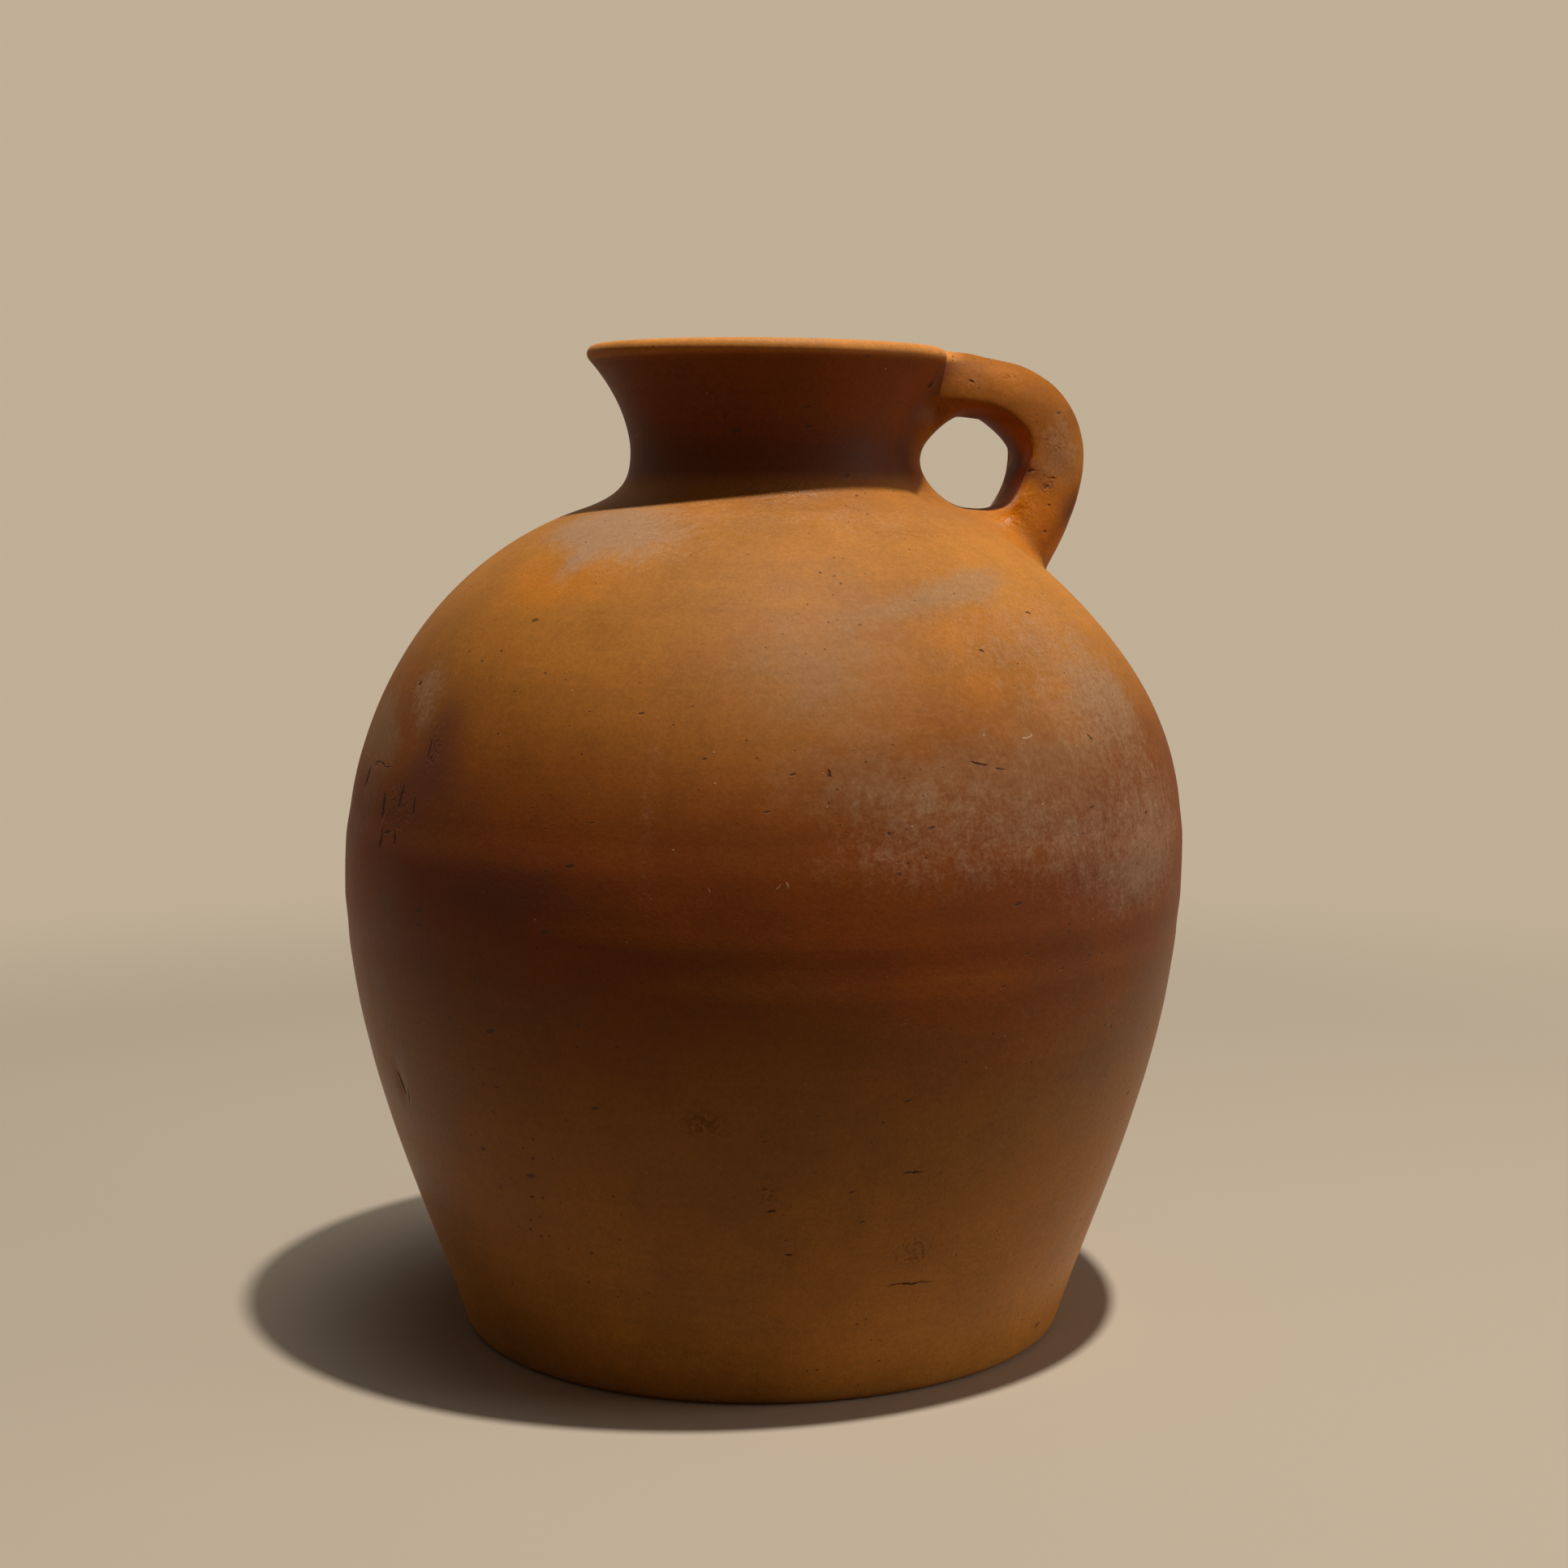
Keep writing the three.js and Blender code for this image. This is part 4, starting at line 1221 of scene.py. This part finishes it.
HANDLE_FLAWS = {  # how far out, height, half width, half height, slant
    "pit": (
        (72.3, 337.8, 1.9, 0.8, -40), (94.3, 306.6, 2.2, 0.8, 20), (103, 303.9, 1.2, 0.9, 0),
        (100.2, 300.8, 1.1, 0.8, 0), (100.8, 294, 0.8, 0.5, 0), (99.9, 284.8, 1.0, 0.8, 0),
    ),
    "rough": ((103.6, 316.2, 6, 4, 0), (101, 302, 5, 5, 0), (88, 340, 5, 3, 0)),
    "crack": ((56.8, 336.6, 2.2, 0.6, 35),),
}
FLAWS = {
    "shoulder_wall": BODY_FLAWS, "lower_wall": LOW_FLAWS, "neck_collar": NECK_FLAWS, "handle": HANDLE_FLAWS,
}
FAR_OUT = 0.3  # metres, well outside the jug
FLAW_REACH = 12 * MM  # how far a flaw goes into the clay


def laid_on(piece, where, height, on_handle):
    """The place on the skin of a piece, and the direction that the skin faces there."""
    angle = math.radians(where)
    outward = Vector((0, -1, 0)) if on_handle else Vector((math.cos(angle), math.sin(angle), 0))
    middle = Vector((where * MM if on_handle else 0, 0, height * MM))
    found, spot, normal, _ = piece.ray_cast(middle + outward * FAR_OUT, -outward)
    if not found:
        raise ValueError(f"no skin of {piece.name} at {where}, {height}")
    return spot, normal


def placed(piece, flaws, on_handle):
    """The flaws of a piece, each with its kind, its spot on the skin, its turn and its size."""
    for kind, marks in flaws.items():
        for where, height, half_width, half_height, slant in marks:
            spot, normal = laid_on(piece, where, height, on_handle)
            level = UP.cross(normal).normalized()
            flat = Matrix((level, normal.cross(level), normal)).transposed()
            turn = (flat @ Matrix.Rotation(math.radians(slant), 3, "Z")).to_euler()
            yield kind, spot, turn, (half_width * MM, half_height * MM, FLAW_REACH)


bpy.context.view_layer.update()
for name, piece in pieces.items():
    node = stands_for[name]
    flaws = placed(piece, FLAWS.get(node, {}), name in HANDLE_PIECES)
    piece.data.materials.append(fired_clay(slots[node], flaws))
print("clay materials:", len(pieces))

# %% [markdown]
# ## Raw inside
# No one burnishes the inside of a jug. It stays rough and paler, with the rings of the fingers. The
# faces that look towards the axis get this second material.

# %% Raw clay on the inside faces
RAW = (0.36, 0.155, 0.058, 1)
RAW_NOISES = {"cloud": (40.0, 6.0, 0.65), "grain": (500.0, 4.0, 0.7)}
RAW_TONES = {"cloud": (0.75, 1.2), "grain": (0.85, 1.1)}
RAW_ROUGHNESS = (0.2, 0.8, 0.8, 0.95)  # range of the cloud, and of the roughness that it makes
RAW_GLOSS = 0.5
FINGER_WAVES = {"cloud": 4.0, "height": 800.0}  # how the rings stray, and how close they lie
RAW_RELIEF = {"rings": 0.25 * MM, "grain": 0.2 * MM}
INWARD = -0.2  # a face that looks less outwards than this is inside
UPWARD = 0.8  # and one near the floor that looks up more than this


def raw_clay():
    material, coords, height = new_clay("raw_inside_clay")
    tree = material.node_tree
    layers = clay_noises(tree, coords, RAW_NOISES)
    layers["height"] = height
    layers["rings"] = maths(tree, "SINE", summed(tree, layers, FINGER_WAVES))
    roughness = scaled(tree, layers["cloud"], *RAW_ROUGHNESS)
    depth = summed(tree, layers, RAW_RELIEF)
    dressed(tree, toned(tree, RAW, layers, RAW_TONES), roughness, depth, RAW_GLOSS)
    return material


raw = raw_clay()
for name in ("foot_floor", "floor_seam", "lower_body", "shoulder"):
    mesh = pieces[name].data
    mesh.materials.append(raw)
    for face in mesh.polygons:
        outward = Vector((face.center.x, face.center.y, 0)).normalized()
        inside = face.normal.dot(outward) < INWARD
        on_floor = face.normal.z > UPWARD and face.center.z < FLOOR_TOP + COIL_REACH
        face.material_index = 1 if inside or on_floor else 0
print("raw clay inside", mesh.name, "and the pieces under it")

# %% [markdown]
# ## Floor and backdrop
# A plain pale floor runs out into a backdrop of the same tone, so that the jug stands alone from every
# side. Near the jug the floor is a lit surface that takes its shadow, and the shadow glows a little with
# the backdrop's colour, as painted light that stands for light from a room. Further out it fades into the
# colour that the world shows to the camera. Other rays see a dimmer floor and world, because the
# photograph's jug stands under one lamp in a dim room and its belly is dark.

# %% Floor and world
FLOOR_RADIUS = 6  # metres
FLOOR_SIDES = 96
BACKDROP = (0.53, 0.43, 0.31, 1)
PALE_FLOOR = (0.57, 0.46, 0.335, 1)
DIM_FLOOR = (0.26, 0.19, 0.12, 1)
DIM_ROOM = (0.04, 0.038, 0.035, 1)
FLOOR_FADE = (0.35, 1.1)  # metres from the axis of the jug
SHADE_FADE = (0.11, 0.24)
SHADE_LIFT = 0.3  # how much of the backdrop shows in the shadow, as light from a room would


def seen_directly(tree):
    """1 for rays from the camera and for those that mirror or pass glass, else 0."""
    path = add(tree, "LightPath").outputs
    shiny = maths(tree, "MAXIMUM", path["Is Glossy Ray"], path["Is Transmission Ray"])
    return maths(tree, "MAXIMUM", path["Is Camera Ray"], shiny)


floor_disc = bmesh.new()
bmesh.ops.create_circle(floor_disc, cap_ends=True, segments=FLOOR_SIDES, radius=FLOOR_RADIUS)
floor = as_object("studio_floor", floor_disc)

floor_paint = bpy.data.materials.new("studio_floor")
floor_paint.use_nodes = True
tree = floor_paint.node_tree
seen = seen_directly(tree)
away = vectors(tree, "LENGTH", add(tree, "TexCoord").outputs["Object"], output="Value")
faded = scaled(tree, away, *FLOOR_FADE)
# painted light: near the jug the floor glows with some of the backdrop's colour, which lifts its shadow
floor_glow = maths(tree, "MAXIMUM", faded, scaled(tree, away, *SHADE_FADE, 0.0, SHADE_LIFT))
near_look = add(tree, "BsdfDiffuse", {"Color": mixed(tree, seen, DIM_FLOOR, PALE_FLOOR)}).outputs["BSDF"]
far_look = add(tree, "Emission", {"Color": mixed(tree, seen, DIM_ROOM, BACKDROP)}).outputs["Emission"]
floor_look = add(tree, "MixShader", {"Fac": floor_glow})
feed(floor_look.inputs[1], near_look)
feed(floor_look.inputs[2], far_look)
feed(tree.nodes["Material Output"].inputs["Surface"], floor_look.outputs["Shader"])
floor.data.materials.append(floor_paint)

world = bpy.data.worlds.new("studio")
bpy.context.scene.world = world
world.use_nodes = True
tree = world.node_tree
feed(tree.nodes["Background"].inputs["Color"], mixed(tree, seen_directly(tree), DIM_ROOM, BACKDROP))
print("floor and backdrop ready")

# %% [markdown]
# ## Light
# One soft lamp hangs almost straight above, a little in front and towards the handle, as in the
# photograph: the rim shades the neck, the shoulder is bright and the belly falls off into shade. A wide
# dim panel on the handle's side lifts the right of the belly.

# %% Lamps
LAMP_DIRECTION = Vector((0.14, -0.2, 1)).normalized()
LAMP_SIZE = 0.11  # sizes and distances in metres
LAMP_DISTANCE = 2.6
LAMP_LEVEL = 0.95  # white that faces the lamp renders at this level
PANEL_PLACE = Vector((1.8, -0.55, 0.7))
PANEL_SIZE = 1.2
PANEL_LEVEL = 0.18


def lamp(name, spot, size, level):
    """A disc of light that faces the middle of the jug."""
    middle = Vector((0, 0, RIM_HEIGHT / 2))
    data = bpy.data.lights.new(name, "AREA")
    data.shape = "DISK"
    data.size = size
    data.energy = level * math.pi ** 2 * (spot - middle).length_squared
    light = bpy.data.objects.new(name, data)
    light.location = spot
    light.rotation_euler = (middle - spot).to_track_quat("-Z", "Y").to_euler()
    bpy.context.scene.collection.objects.link(light)
    print(name, "of", round(data.energy, 1), "W")


lamp("overhead_lamp", LAMP_DIRECTION * LAMP_DISTANCE, LAMP_SIZE, LAMP_LEVEL)
lamp("side_panel", PANEL_PLACE, PANEL_SIZE, PANEL_LEVEL)
bpy.context.scene.view_settings.view_transform = "Standard"
